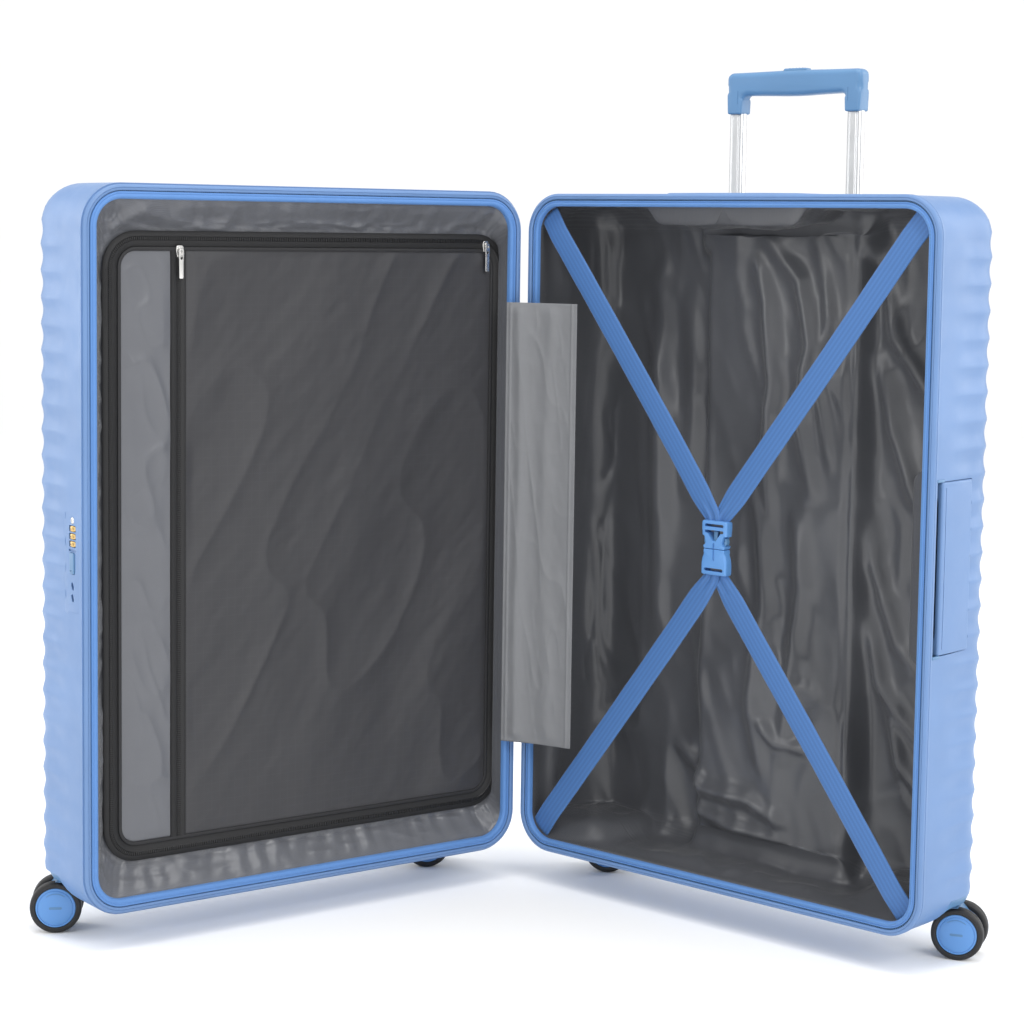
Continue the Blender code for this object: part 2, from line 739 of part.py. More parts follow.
def make_lock(shell):
    """The combination lock: plate with its body, three dials, a key cylinder and a button."""
    half = LOCK_LENGTH / 2
    inner = (LOCK_SPAN[0] + 0.0040, LOCK_SPAN[1] - 0.0040)
    axis_v = sum(LOCK_SPAN) / 2
    face = LOCK_PLATE_THICK
    window = lock_block("lock_window", 0.05, 0.05, 0.0, half - 0.0060 + FIT,
                        (inner[0] - FIT, inner[1] + FIT))
    on_case("front", shell, window)
    plate = seat(lock_block("lock_plate", -FIT, face, 0.0, half, LOCK_SPAN), "front", finish="trim")
    body = lock_block("lock_body", LOCK_BODY_DEPTH, face / 2, 0.0, half - 0.0060, inner)
    on_case("front", plate, body, "UNION")
    for number, middle in enumerate(DIAL_HEIGHTS, 1):
        axis = Vector((CASE_SIDE - 0.0030, axis_v, LOCK_HEIGHT + middle))
        slot = lock_block("dial_slot_%d" % number, 0.0108, 0.01, middle, DIAL_THICK / 2 + 0.0003,
                          (axis_v - 0.0072, axis_v + 0.0072))
        on_case("front", plate, slot)
        reach = Vector((0, 0, DIAL_THICK / 2))
        dial = rod("lock_dial_%d" % number, axis - reach, axis + reach, DIAL_RADIUS, 20)
        seat(dial, "front", axis, finish="brass")
    key_axis = Vector((CASE_SIDE, axis_v, LOCK_HEIGHT + 0.0415))
    out = Vector((face + 0.0004, 0, 0))
    into = Vector((-0.0080, 0, 0))
    bore = rod("key_bore", key_axis + into * 1.1, key_axis + out * 4, 0.0035, 16)
    on_case("front", plate, bore)
    key = seat(rod("key_cylinder", key_axis + into, key_axis + out, 0.0032, 16), "front", key_axis,
               finish="metal")
    keyway = block("keyway", key_axis + Vector((0, -0.0005, -0.0018)),
                   key_axis + Vector((0.01, 0.0005, 0.0018)))
    on_case("front", key, keyway)
    well = lock_block("button_well", 0.0060, 0.01, -0.0005, 0.0108, (axis_v - 0.0053, axis_v + 0.0053))
    on_case("front", plate, well)
    button = lock_block("lock_button", 0.0030, face + 0.0012, -0.0005, 0.0104,
                        (axis_v - 0.0049, axis_v + 0.0049))
    seat(button, "front", (CASE_SIDE, axis_v, LOCK_HEIGHT), finish="trim")
    for number, middle in enumerate((-0.0230, -0.0345), 1):
        on_case("front", plate, lock_block("puller_socket_%d" % number, 0.0012, 0.01, middle, 0.0042,
                                           (axis_v - 0.0028, axis_v + 0.0028)))


# ---------------------------------------------------------------- soft goods and zips

def make_divider():
    """The zipped divider panel across the front shell."""
    width = DIVIDER_U[1] - DIVIDER_U[0]
    height = DIVIDER_Z[1] - DIVIDER_Z[0]
    outline = rounded_rectangle(width, height, DIVIDER_CORNER, CORNER_STEPS)
    middle = (sum(DIVIDER_U) / 2, sum(DIVIDER_Z) / 2)
    loops = [[(middle[0] + across, depth, middle[1] + up) for across, up in outline]
             for depth in (DIVIDER_FRONT, DIVIDER_FRONT + DIVIDER_THICK)]
    seat(loft("divider_panel", loops), "front", finish="divider")


def make_puller(name, spot):
    """A zip slider with its own hanging pull, in front of the divider."""
    u, z = spot
    width, thick, height = SLIDER_SIZE
    back = DIVIDER_FRONT - FIT
    slider = block(name + "_slider", (u - width / 2, back - thick, z - height / 2),
                   (u + width / 2, back, z + height / 2), 0.0010, 1)
    seat(slider, "front", (u, back - thick / 2, z), finish="metal")
    width, depth, length = PULL_SIZE
    front = back - thick - FIT
    top = z + 0.0030
    pull = block(name + "_pull", (u - width / 2, front - depth, top - length),
                 (u + width / 2, front, top), 0.0005, 1)
    seat(pull, "front", (u, front - depth / 2, top - PULL_PIVOT), finish="metal")


def make_main_slider(name, height, down):
    """One of the two sliders of the main zip, parked at the spine behind the flap."""
    u = SPINE_GAP + RIM_BAND + TAPE_WIDTH / 2
    slider = block(name, (u - 0.0029, -0.0034, height - 0.0060), (u + 0.0029, 0.0036, height + 0.0060),
                   0.0010, 1)
    seat(slider, "back", (u, 0.0, height), finish="metal")
    tab = block(name + "_tab", (u - 0.0025, -0.0032, height - 0.0250 * down),
                (u + 0.0025, -0.0020, height + 0.0250 * (1 - down)))
    on_case("back", slider, tab, "UNION")


def make_flap():
    """The fabric flap over the spine, from the front shell's binding to the back shell's lining."""
    cos, sin = math.cos(OPEN_TILT), math.sin(OPEN_TILT)
    left = Vector((-FLAP_REACH[0] * cos, -FLAP_REACH[0] * sin))
    right = Vector((FLAP_REACH[1] * cos, -FLAP_REACH[1] * sin))
    away = Vector((0.0, -0.0022))
    steps = 6
    front, rear = [], []
    for step in range(steps + 1):
        share = step / steps
        sag = Vector((0.0, 0.0035 * math.sin(math.pi * share)))
        point = left.lerp(right, share) + away + sag
        front.append(tuple(point - Vector((0, FLAP_THICK / 2))))
        rear.append(tuple(point + Vector((0, FLAP_THICK / 2))))
    flap = outline_plate("hinge_flap", front + rear[::-1], FLAP_Z[1] - FLAP_Z[0])
    reshape(flap, Matrix.Translation((0, 0, sum(FLAP_Z) / 2)))
    flap.parent = FRAMES["spine"]
    flap.data.materials.append(material("flap"))


def strap_arm(name, start, end):
    """A flat length of webbing between two points of the mouth plane."""
    start, end = Vector(start), Vector(end)
    along = end - start
    arm = block(name, (0, -STRAP_THICK / 2, -STRAP_WIDTH / 2),
                (along.length, STRAP_THICK / 2, STRAP_WIDTH / 2))
    turn = Matrix.Rotation(-math.atan2(along.y, along.x), 4, "Y")
    return reshape(arm, Matrix.Translation((start.x, STRAP_DEPTH, start.y)) @ turn)


def make_straps(name, up):
    """Two straps from the shell's corners that meet at the buckle, as one V."""
    corner = 0.0230
    tip = BUCKLE_HEIGHT + up * 0.0200
    far = CASE_TOP - corner if up > 0 else CASE_FLOOR + corner
    ends = (SPINE_GAP + corner, CASE_SIDE - corner)
    straps = seat(strap_arm(name, (CASE_MIDDLE, tip), (ends[0], far)), "back", finish="webbing")
    on_case("back", straps, strap_arm(name + "_arm", (CASE_MIDDLE, tip), (ends[1], far)), "UNION")
    clear = SOCKET_HEIGHT - BUCKLE_SPLIT if up > 0 else PLUG_HEIGHT + BUCKLE_SPLIT + FIT
    edge = BUCKLE_HEIGHT + up * (clear + FIT)
    reach = sorted((edge, edge - up * 0.2))
    on_case("back", straps, block(name + "_end", (0.0, 0.0, reach[0]), (0.6, 0.02, reach[1])))


def make_buckle():
    """The side-release buckle: a socket above and a three-pronged plug below."""
    half = BUCKLE_WIDTH / 2
    back = BUCKLE_FRONT + BUCKLE_THICK
    low = BUCKLE_HEIGHT - BUCKLE_SPLIT
    middle = BUCKLE_FRONT + BUCKLE_THICK / 2
    shell = block("buckle_socket", (CASE_MIDDLE - half, BUCKLE_FRONT, low),
                  (CASE_MIDDLE + half, back, low + SOCKET_HEIGHT), 0.0020)
    seat(shell, "back", finish="trim")
    cavity = block("buckle_cavity", (CASE_MIDDLE - 0.0130, middle - 0.0034, low - 0.01),
                   (CASE_MIDDLE + 0.0130, middle + 0.0034, low + 0.0210))
    on_case("back", shell, cavity)
    window = block("buckle_windows", (CASE_MIDDLE - 0.03, middle - 0.0026, low + 0.0060),
                   (CASE_MIDDLE + 0.03, middle + 0.0026, low + 0.0160))
    on_case("back", shell, window)
    top = low - FIT
    plug = block("buckle_plug", (CASE_MIDDLE - half, BUCKLE_FRONT, top - PLUG_HEIGHT),
                 (CASE_MIDDLE + half, back, top), 0.0020)
    seat(plug, "back", (CASE_MIDDLE, middle, top), finish="trim")
    for number, across in enumerate((-0.0100, 0.0, 0.0100), 1):
        prong = block("buckle_prong_%d" % number,
                      (CASE_MIDDLE + across - 0.0026, middle - 0.0028, top - 0.004),
                      (CASE_MIDDLE + across + 0.0026, middle + 0.0028, top + 0.0190))
        on_case("back", plug, prong, "UNION")


# ---------------------------------------------------------------- assembly

def centre_on_floor():
    """Move the whole case so its box stands on z = 0 with its middle at the origin."""
    bpy.context.view_layer.update()
    graph = bpy.context.evaluated_depsgraph_get()
    corners = []
    for made in collection(PARTS).objects:
        if made.type == "MESH":
            shape = made.evaluated_get(graph)
            corners += [shape.matrix_world @ vertex.co for vertex in shape.data.vertices]
    low = [min(corner[axis] for corner in corners) for axis in range(2)]
    high = [max(corner[axis] for corner in corners) for axis in range(2)]
    FRAMES["spine"].location = (-(low[0] + high[0]) / 2, -(low[1] + high[1]) / 2, 0.0)
    bpy.context.view_layer.update()


def main():
    """Build both shells and everything on them."""
    FRAMES["spine"] = empty("spine")
    FRAMES["back"] = empty("back_frame", FRAMES["spine"], turn=-OPEN_TILT)
    FRAMES["front"] = empty("front_frame", FRAMES["spine"], turn=OPEN_TILT)
    back_shell = make_shell("back")
    front_shell = make_shell("front")
    make_trolley_bezel(back_shell)
    make_handle(back_shell, "side")
    make_handle(back_shell, "top")
    make_lock(front_shell)
    for side in SIDES:
        make_zip_tape(side)
        make_lining(side)
        for place, spot in caster_spots().items():
            make_caster(side, place, spot)
    make_trolley_tubes()
    make_grip()
    make_divider()
    make_puller("pocket", (POCKET_ZIP_U, 0.6880))
    make_puller("divider", (0.0330, 0.6950))
    make_main_slider("main_slider_upper", 0.6050, 1)
    make_main_slider("main_slider_lower", 0.1730, 0)
    make_flap()
    make_straps("upper_straps", 1)
    make_straps("lower_straps", -1)
    make_buckle()
    centre_on_floor()


FRAMES = {}
clear_scene()
main()
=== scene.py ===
"""Looks of an open hard shell suitcase on four twin-wheel casters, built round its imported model."""
import json
import math

import bmesh
import bpy
import numpy as np
from bpy.props import FloatProperty, FloatVectorProperty, IntProperty, PointerProperty
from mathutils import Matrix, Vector


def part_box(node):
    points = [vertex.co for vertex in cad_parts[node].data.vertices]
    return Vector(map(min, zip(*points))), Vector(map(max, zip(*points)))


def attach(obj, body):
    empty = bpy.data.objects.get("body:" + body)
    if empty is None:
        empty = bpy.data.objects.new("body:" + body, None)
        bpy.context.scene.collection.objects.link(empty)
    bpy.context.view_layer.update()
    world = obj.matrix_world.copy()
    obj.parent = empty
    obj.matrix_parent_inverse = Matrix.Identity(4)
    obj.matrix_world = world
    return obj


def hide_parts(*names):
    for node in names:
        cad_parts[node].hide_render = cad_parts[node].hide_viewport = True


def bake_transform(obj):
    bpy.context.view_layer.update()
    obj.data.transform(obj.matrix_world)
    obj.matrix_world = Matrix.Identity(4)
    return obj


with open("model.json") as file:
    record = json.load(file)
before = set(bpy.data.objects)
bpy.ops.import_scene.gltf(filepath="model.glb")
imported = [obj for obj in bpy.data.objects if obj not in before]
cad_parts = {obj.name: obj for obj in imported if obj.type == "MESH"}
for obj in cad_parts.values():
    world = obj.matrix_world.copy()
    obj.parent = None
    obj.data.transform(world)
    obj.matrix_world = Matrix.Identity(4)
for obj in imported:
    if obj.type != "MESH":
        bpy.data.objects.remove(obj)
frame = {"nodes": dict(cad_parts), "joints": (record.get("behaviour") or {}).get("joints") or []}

bl_info = {
    "name": "Open Hard Shell Suitcase",
    "version": (1, 0, 0),
    "blender": (4, 5, 0),
    "location": "3D View > Sidebar > Suitcase",
    "description": "Builds the shells, linings, zips, straps and fittings of an open suitcase",
    "category": "Object",
}

# Case, in shell coordinates: u from the spine to the free edge, v from the mouth into the depth
JOINTS = {joint["name"]: joint for joint in frame["joints"]}
SPINE = np.array(JOINTS["lid_hinge"]["pos_m"][:2])
OPEN_TILT = math.radians(39.0)
CASE_WIDTH, CASE_HEIGHT, CASE_DEPTH, CASE_FLOOR = 0.513, 0.713, 0.127, 0.0385
SPINE_GAP, RIM_PLANE, CORNER = 0.003, 0.003, 0.040
CASE_TOP = CASE_FLOOR + CASE_HEIGHT
CASE_SIDE = SPINE_GAP + CASE_WIDTH
CASE_MIDDLE = SPINE_GAP + CASE_WIDTH / 2
MID_HEIGHT = CASE_FLOOR + CASE_HEIGHT / 2
FIT = 0.0003
HOUSING_RADIUS, WELL_RADIUS, HOUSING_ROOF, HOUSING_TOP = 0.0475, 0.0455, 0.0575, 0.0660
CASTER_SIDE_INSET, CASTER_BACK_INSET = 0.031, 0.026
SIDES = ("back", "front")


# ---------------------------------------------------------------- coordinates

def to_world(side, points):
    """Shell coordinates to the row frame: a turn by the opening tilt about the spine, mirrored for
    the front shell."""
    points = np.asarray(points, float)
    hand = 1.0 if side == "back" else -1.0
    cos, sin = math.cos(OPEN_TILT), math.sin(OPEN_TILT)
    u, v, z = points[..., 0], points[..., 1], points[..., 2]
    return np.stack([SPINE[0] + hand * (u * cos + v * sin), SPINE[1] - u * sin + v * cos, z], -1)


def to_shell(side, points):
    """The row frame back to shell coordinates, the inverse of to_world."""
    points = np.asarray(points, float)
    hand = 1.0 if side == "back" else -1.0
    cos, sin = math.cos(OPEN_TILT), math.sin(OPEN_TILT)
    x, y = (points[..., 0] - SPINE[0]) * hand, points[..., 1] - SPINE[1]
    return np.stack([x * cos - y * sin, x * sin + y * cos, points[..., 2]], -1)


def caster_spots():
    """The swivel axes of a shell's two casters, as u and v."""
    depth = CASE_DEPTH - CASTER_BACK_INSET
    return {"spine": (SPINE_GAP + CASTER_SIDE_INSET, depth),
            "outer": (CASE_SIDE - CASTER_SIDE_INSET, depth)}


def ease(low, high, value):
    """Zero below low, one above high, and a smooth cubic step between."""
    share = np.clip((np.asarray(value, float) - low) / (high - low), 0.0, 1.0)
    return share * share * (3.0 - 2.0 * share)


def lattice_noise(points, seed):
    """Random values on a unit lattice, blended by a fifth power step; from -1 to 1."""
    points = np.asarray(points, float)
    cell = np.floor(points).astype(np.int64)
    part = points - cell
    part = part ** 3 * (part * (part * 6 - 15) + 10)
    total = np.zeros(points.shape[:-1])
    for corner in range(8):
        step = np.array([corner & 1, corner >> 1 & 1, corner >> 2 & 1])
        key = (cell + step) & 0xFFFF
        mixed = key[..., 0] * 73856093 ^ key[..., 1] * 19349663 ^ key[..., 2] * 83492791 ^ seed * 2654435
        mixed = (mixed ^ (mixed >> 13)) * 1274126177 & 0x7FFFFFFF
        mixed = (mixed ^ (mixed >> 15)) & 0xFFFF
        weight = np.prod(np.where(step == 1, part, 1 - part), -1)
        total += weight * (mixed / 65535.0)
    return total * 2 - 1


def cloud(points, seed, octaves=3):
    """Lattice noise summed over octaves, each twice as fine and half as strong."""
    total, strength = 0.0, 1.0
    for octave in range(octaves):
        total = total + strength * lattice_noise(np.asarray(points) * 2 ** octave, seed + octave)
        strength *= 0.5
    return total


def creases(points, seed, octaves=2):
    """Sharp crests where lattice noise crosses zero: one minus its size, cubed, over octaves."""
    total, strength = 0.0, 1.0
    for octave in range(octaves):
        wave = lattice_noise(np.asarray(points) * 1.9 ** octave, seed + octave)
        total = total + strength * (1 - np.abs(wave)) ** 3
        strength *= 0.45
    return total


def ridge(points, path, width, height, sharp=1.0):
    """A fold along a line of points in a plane: height times the inverse square cosh of the
    distance over the width, fading at both ends."""
    points, path = np.asarray(points, float), np.asarray(path, float)
    best = np.full(points.shape[:-1], 1e9)
    along = np.zeros(points.shape[:-1])
    steps = np.linalg.norm(np.diff(path, axis=0), axis=1)
    total, run = steps.sum(), 0.0
    for start, end, step in zip(path[:-1], path[1:], steps):
        way = end - start
        share = np.clip(((points - start) @ way) / step ** 2, 0, 1)
        gap = np.linalg.norm(points - (start + share[..., None] * way), axis=-1)
        nearer = gap < best
        best = np.where(nearer, gap, best)
        along = np.where(nearer, (run + share * step) / total, along)
        run += step
    taper = np.sin(np.pi * np.clip(along, 0, 1)) ** 0.6
    return height * taper / np.cosh((best / width) ** sharp) ** 2


# ---------------------------------------------------------------- meshes

def quads(rows, columns, wrap_rows=False, wrap_columns=False):
    """The faces of a grid of points, as point numbers, wrapped where asked."""
    row = np.arange(rows if wrap_rows else rows - 1)[:, None]
    column = np.arange(columns if wrap_columns else columns - 1)[None, :]
    below, right = (row + 1) % rows, (column + 1) % columns
    return np.stack([row * columns + column, row * columns + right,
                     below * columns + right, below * columns + column], -1).reshape(-1, 4)


def piece(name, points, faces, uv=None, weld=0.0, outward=False, crease=None):
    """A mesh object from arrays of points and faces, with a UV per point where one is given."""
    mesh = bpy.data.meshes.new(name)
    points = np.asarray(points, float).reshape(-1, 3)
    faces = faces.tolist() if isinstance(faces, np.ndarray) else faces
    mesh.from_pydata(points.tolist(), [], faces)
    if uv is not None:
        layer = mesh.uv_layers.new(name="UVMap")
        corners = np.zeros(len(mesh.loops), np.int32)
        mesh.loops.foreach_get("vertex_index", corners)
        uv = np.asarray(uv, np.float32).reshape(-1, 2)
        layer.data.foreach_set("uv", uv[corners].ravel())
    made = bpy.data.objects.new(name, mesh)
    bpy.context.scene.collection.objects.link(made)
    tidy_mesh(mesh, weld, outward, crease)
    return made


def tidy_mesh(mesh, weld=0.0, outward=False, crease=None):
    """Merge doubles, face a closed mesh outwards, and shade smooth up to a crease angle."""
    if weld or outward:
        bm = bmesh.new()
        bm.from_mesh(mesh)
        if weld:
            bmesh.ops.remove_doubles(bm, verts=bm.verts, dist=weld)
            bmesh.ops.dissolve_degenerate(bm, edges=bm.edges, dist=weld / 2)
        if outward:
            bmesh.ops.recalc_face_normals(bm, faces=bm.faces)
        bm.to_mesh(mesh)
        bm.free()
    mesh.polygons.foreach_set("use_smooth", np.ones(len(mesh.polygons), bool))
    if crease:
        mesh.set_sharp_from_angle(angle=math.radians(crease))
    mesh.update()


def settle(made, crease=None):
    """Apply the modifiers of a piece to its mesh."""
    graph = bpy.context.evaluated_depsgraph_get()
    final = bpy.data.meshes.new_from_object(
        made.evaluated_get(graph), preserve_all_data_layers=True, depsgraph=graph)
    made.modifiers.clear()
    old, made.data = made.data, final
    bpy.data.meshes.remove(old)
    tidy_mesh(final, crease=crease)
    return made


def join(name, made):
    """Several pieces as one."""
    bm = bmesh.new()
    layered = all(one.data.uv_layers for one in made)
    for one in made:
        bm.from_mesh(one.data)
    mesh = bpy.data.meshes.new(name)
    bm.to_mesh(mesh)
    bm.free()
    for number, one in enumerate(made):
        if number == 0:
            for finish in one.data.materials:
                mesh.materials.append(finish)
    whole = bpy.data.objects.new(name, mesh)
    bpy.context.scene.collection.objects.link(whole)
    for one in made:
        bpy.data.objects.remove(one, do_unlink=True)
    if not layered:
        while mesh.uv_layers:
            mesh.uv_layers.remove(mesh.uv_layers[0])
    return whole


def carve(made, tools, operation="DIFFERENCE", crease=30):
    """Cut a piece with, or trim it to, some closed tools, and apply the result."""
    for tool in tools:
        step = made.modifiers.new("carve", "BOOLEAN")
        step.operation, step.solver, step.object = operation, "EXACT", tool
    bpy.context.view_layer.update()
    settle(made, crease)
    for tool in tools:
        bpy.data.objects.remove(tool, do_unlink=True)
    return made


def rounded_outline(width, height, radius, steps=6, straight=1, centre=(0.0, 0.0)):
    """A rectangle with round corners, anticlockwise; radius may be one number or four, from the
    top right corner on."""
    radii = np.broadcast_to(radius, 4)
    points = []
    for quarter in range(4):
        across, up = (1, -1, -1, 1)[quarter], (1, 1, -1, -1)[quarter]
        turn = np.pi / 2 * (quarter + np.linspace(0, 1, steps + 1))
        corner = np.array([across * (width / 2 - radii[quarter]), up * (height / 2 - radii[quarter])])
        points.append(corner + radii[quarter] * np.stack([np.cos(turn), np.sin(turn)], -1))
    loop = []
    for here, after in zip(points, points[1:] + points[:1]):
        loop.append(here)
        if straight > 1:
            share = np.linspace(0, 1, straight + 1)[1:-1, None]
            loop.append(here[-1] * (1 - share) + after[0] * share)
    return np.concatenate(loop) + np.array(centre)


def round_corners(corners, radius, steps=5):
    """A polygon with each corner replaced by a parabola that touches both sides."""
    corners = np.asarray(corners, float)
    radii = np.broadcast_to(radius, len(corners))
    share = np.linspace(0, 1, steps + 1)[:, None]
    loop = []
    for index, (corner, reach) in enumerate(zip(corners, radii)):
        before, after = corners[index - 1], corners[(index + 1) % len(corners)]
        near = min(reach, np.linalg.norm(before - corner) * 0.49, np.linalg.norm(after - corner) * 0.49)
        start = corner + (before - corner) / np.linalg.norm(before - corner) * near
        end = corner + (after - corner) / np.linalg.norm(after - corner) * near
        loop.append((1 - share) ** 2 * start + 2 * share * (1 - share) * corner + share ** 2 * end)
    return np.concatenate(loop)


def outline_normals(outline):
    """Outward directions of a closed anticlockwise outline, from its neighbours' chord."""
    chord = np.roll(outline, -1, 0) - np.roll(outline, 1, 0)
    length = np.maximum(np.linalg.norm(chord, axis=1, keepdims=True), 1e-12)
    return np.stack([chord[:, 1], -chord[:, 0]], -1) / length


def tightest_bend(outline):
    """How far each point of an anticlockwise outline can move in before its neighbourhood folds:
    the smallest convex bending radius within three points of it."""
    before = outline - np.roll(outline, 1, axis=0)
    after = np.roll(outline, -1, axis=0) - outline
    near = np.minimum(np.linalg.norm(before, axis=1), np.linalg.norm(after, axis=1))
    turning = np.arctan2(before[:, 0] * after[:, 1] - before[:, 1] * after[:, 0], (before * after).sum(1))
    bend = np.where(turning > 0.01, 0.9 * near / np.maximum(turning, 0.01), 1.0)
    return np.min([np.roll(bend, step) for step in range(-3, 4)], axis=0)


def slab(name, outline, low, high, rounding, place, steps=4, crease=40):
    """A flat solid from an outline, its edges rounded by quarter circles; place turns the three
    arrays across, up and deep into points."""
    outline = np.asarray(outline, float)
    area = np.sum(outline[:, 0] * np.roll(outline[:, 1], -1) - outline[:, 1] * np.roll(outline[:, 0], -1))
    if area < 0:
        outline = outline[::-1]
    normals = outline_normals(outline)
    turn = np.linspace(0, np.pi / 2, steps + 1)[:, None]
    edge = np.minimum(rounding, tightest_bend(outline))
    inset = edge * (1 - np.sin(turn))
    rise = edge * (1 - np.cos(turn))
    insets = np.concatenate([inset, inset[::-1]])
    deep = np.concatenate([low + rise, (high - rise)[::-1]])
    loops = outline[None] - normals[None] * insets[..., None]
    across, up = loops[..., 0], loops[..., 1]
    points = place(across, up, deep).reshape(-1, 3)
    rows, columns = across.shape
    faces = quads(rows, columns, wrap_columns=True).tolist()
    faces.append(list(range(columns)))
    faces.append(list(range((rows - 1) * columns, rows * columns)))
    return piece(name, points, faces, outward=True, crease=crease)


def lathe(name, profile, centre, axis, sides=64, closed=False, crease=35):
    """A profile of radius and distance along an axis, turned about it; poles are closed."""
    profile = np.asarray(profile, float)
    axis = np.asarray(axis, float) / np.linalg.norm(axis)
    side = np.cross(axis, (0.0, 0.0, 1.0) if abs(axis[2]) < 0.9 else (1.0, 0.0, 0.0))
    side /= np.linalg.norm(side)
    other = np.cross(axis, side)
    turn = np.linspace(0, 2 * np.pi, sides, endpoint=False)
    ring = np.cos(turn)[:, None] * side + np.sin(turn)[:, None] * other
    points = (np.asarray(centre, float) + profile[:, None, 1:2] * axis
              + profile[:, None, 0:1] * ring[None])
    faces = quads(len(profile), sides, wrap_rows=closed, wrap_columns=True)
    return piece(name, points, faces, weld=1e-6, outward=True, crease=crease)


def block(name, low, high, rounding, place=None, steps=3, corner=None):
    """A box with rounded edges between two corners, as a rounded outline given depth."""
    low, high = np.asarray(low, float), np.asarray(high, float)
    size, middle = high - low, (low + high) / 2
    corner = rounding if corner is None else corner
    outline = rounded_outline(size[0], size[2], max(corner, 1e-5), steps + 1, centre=(middle[0], middle[2]))
    place = place or (lambda across, up, deep: np.stack([across, deep, up], -1))
    return slab(name, outline, low[1], high[1], rounding, place, steps)


def on_shell(side):
    """Places across, up and deep as u, z and v of a shell."""
    return lambda across, up, deep: to_world(side, np.stack([across, deep, up], -1))


def scatter(name, shape, faces, spots, frames):
    """One small shape repeated: each copy is the shape in its own frame, added to its spot."""
    shape, spots = np.asarray(shape, float), np.asarray(spots, float)
    points = spots[:, None] + np.einsum("kc,ncd->nkd", shape, frames)
    faces = np.asarray(faces)
    number = np.arange(len(spots))[:, None, None] * len(shape) + faces[None]
    return piece(name, points, number.reshape(-1, faces.shape[1]))


def along_loop(loop, spacing):
    """Even steps along a closed line: places, directions and the number of steps."""
    closed = np.concatenate([loop, loop[:1]])
    length = np.concatenate([[0], np.cumsum(np.linalg.norm(np.diff(closed, axis=0), axis=1))])
    count = int(round(length[-1] / spacing))
    at = np.arange(count) * length[-1] / count
    spots = np.stack([np.interp(at, length, closed[:, axis]) for axis in range(closed.shape[1])], -1)
    ways = np.roll(spots, -1, 0) - np.roll(spots, 1, 0)
    return spots, ways / np.linalg.norm(ways, axis=1, keepdims=True)


PELLET = (np.array([[-.5, -.5, 0], [.5, -.5, 0], [.5, .5, 0], [-.5, .5, 0],
                    [-.36, -.3, 1], [.36, -.3, 1], [.36, .3, 1], [-.36, .3, 1]]),
          np.array([[0, 1, 5, 4], [1, 2, 6, 5], [2, 3, 7, 6], [3, 0, 4, 7], [4, 5, 6, 7], [3, 2, 1, 0]]))


def dashes(name, side, spots, ways, normals, size):
    """Small raised stitches or teeth: a bevelled pellet at each spot of a shell, laid along its way
    and standing along its normal; spots, ways and normals are u, v, z."""
    spots, ways, normals = (np.asarray(a, float) for a in (spots, ways, normals))
    normals = np.broadcast_to(normals, ways.shape)
    across = np.cross(normals, ways)
    frames = np.stack([ways, across, normals], 1)
    made = scatter(name, PELLET[0] * np.asarray(size), PELLET[1], spots, frames)
    points = np.zeros(len(made.data.vertices) * 3)
    made.data.vertices.foreach_get("co", points)
    made.data.vertices.foreach_set("co", to_world(side, points.reshape(-1, 3)).ravel())
    tidy_mesh(made.data, outward=True, crease=30)
    return made


def dress(made, body, finish, slot, *nodes):
    """Give a piece its material and its body, and hide the CAD nodes it stands for; the slot is not used."""
    made.data.materials.clear()
    made.data.materials.append(finish)
    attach(made, body)
    if nodes:
        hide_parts(*nodes)
    return made


# ---------------------------------------------------------------- finishes

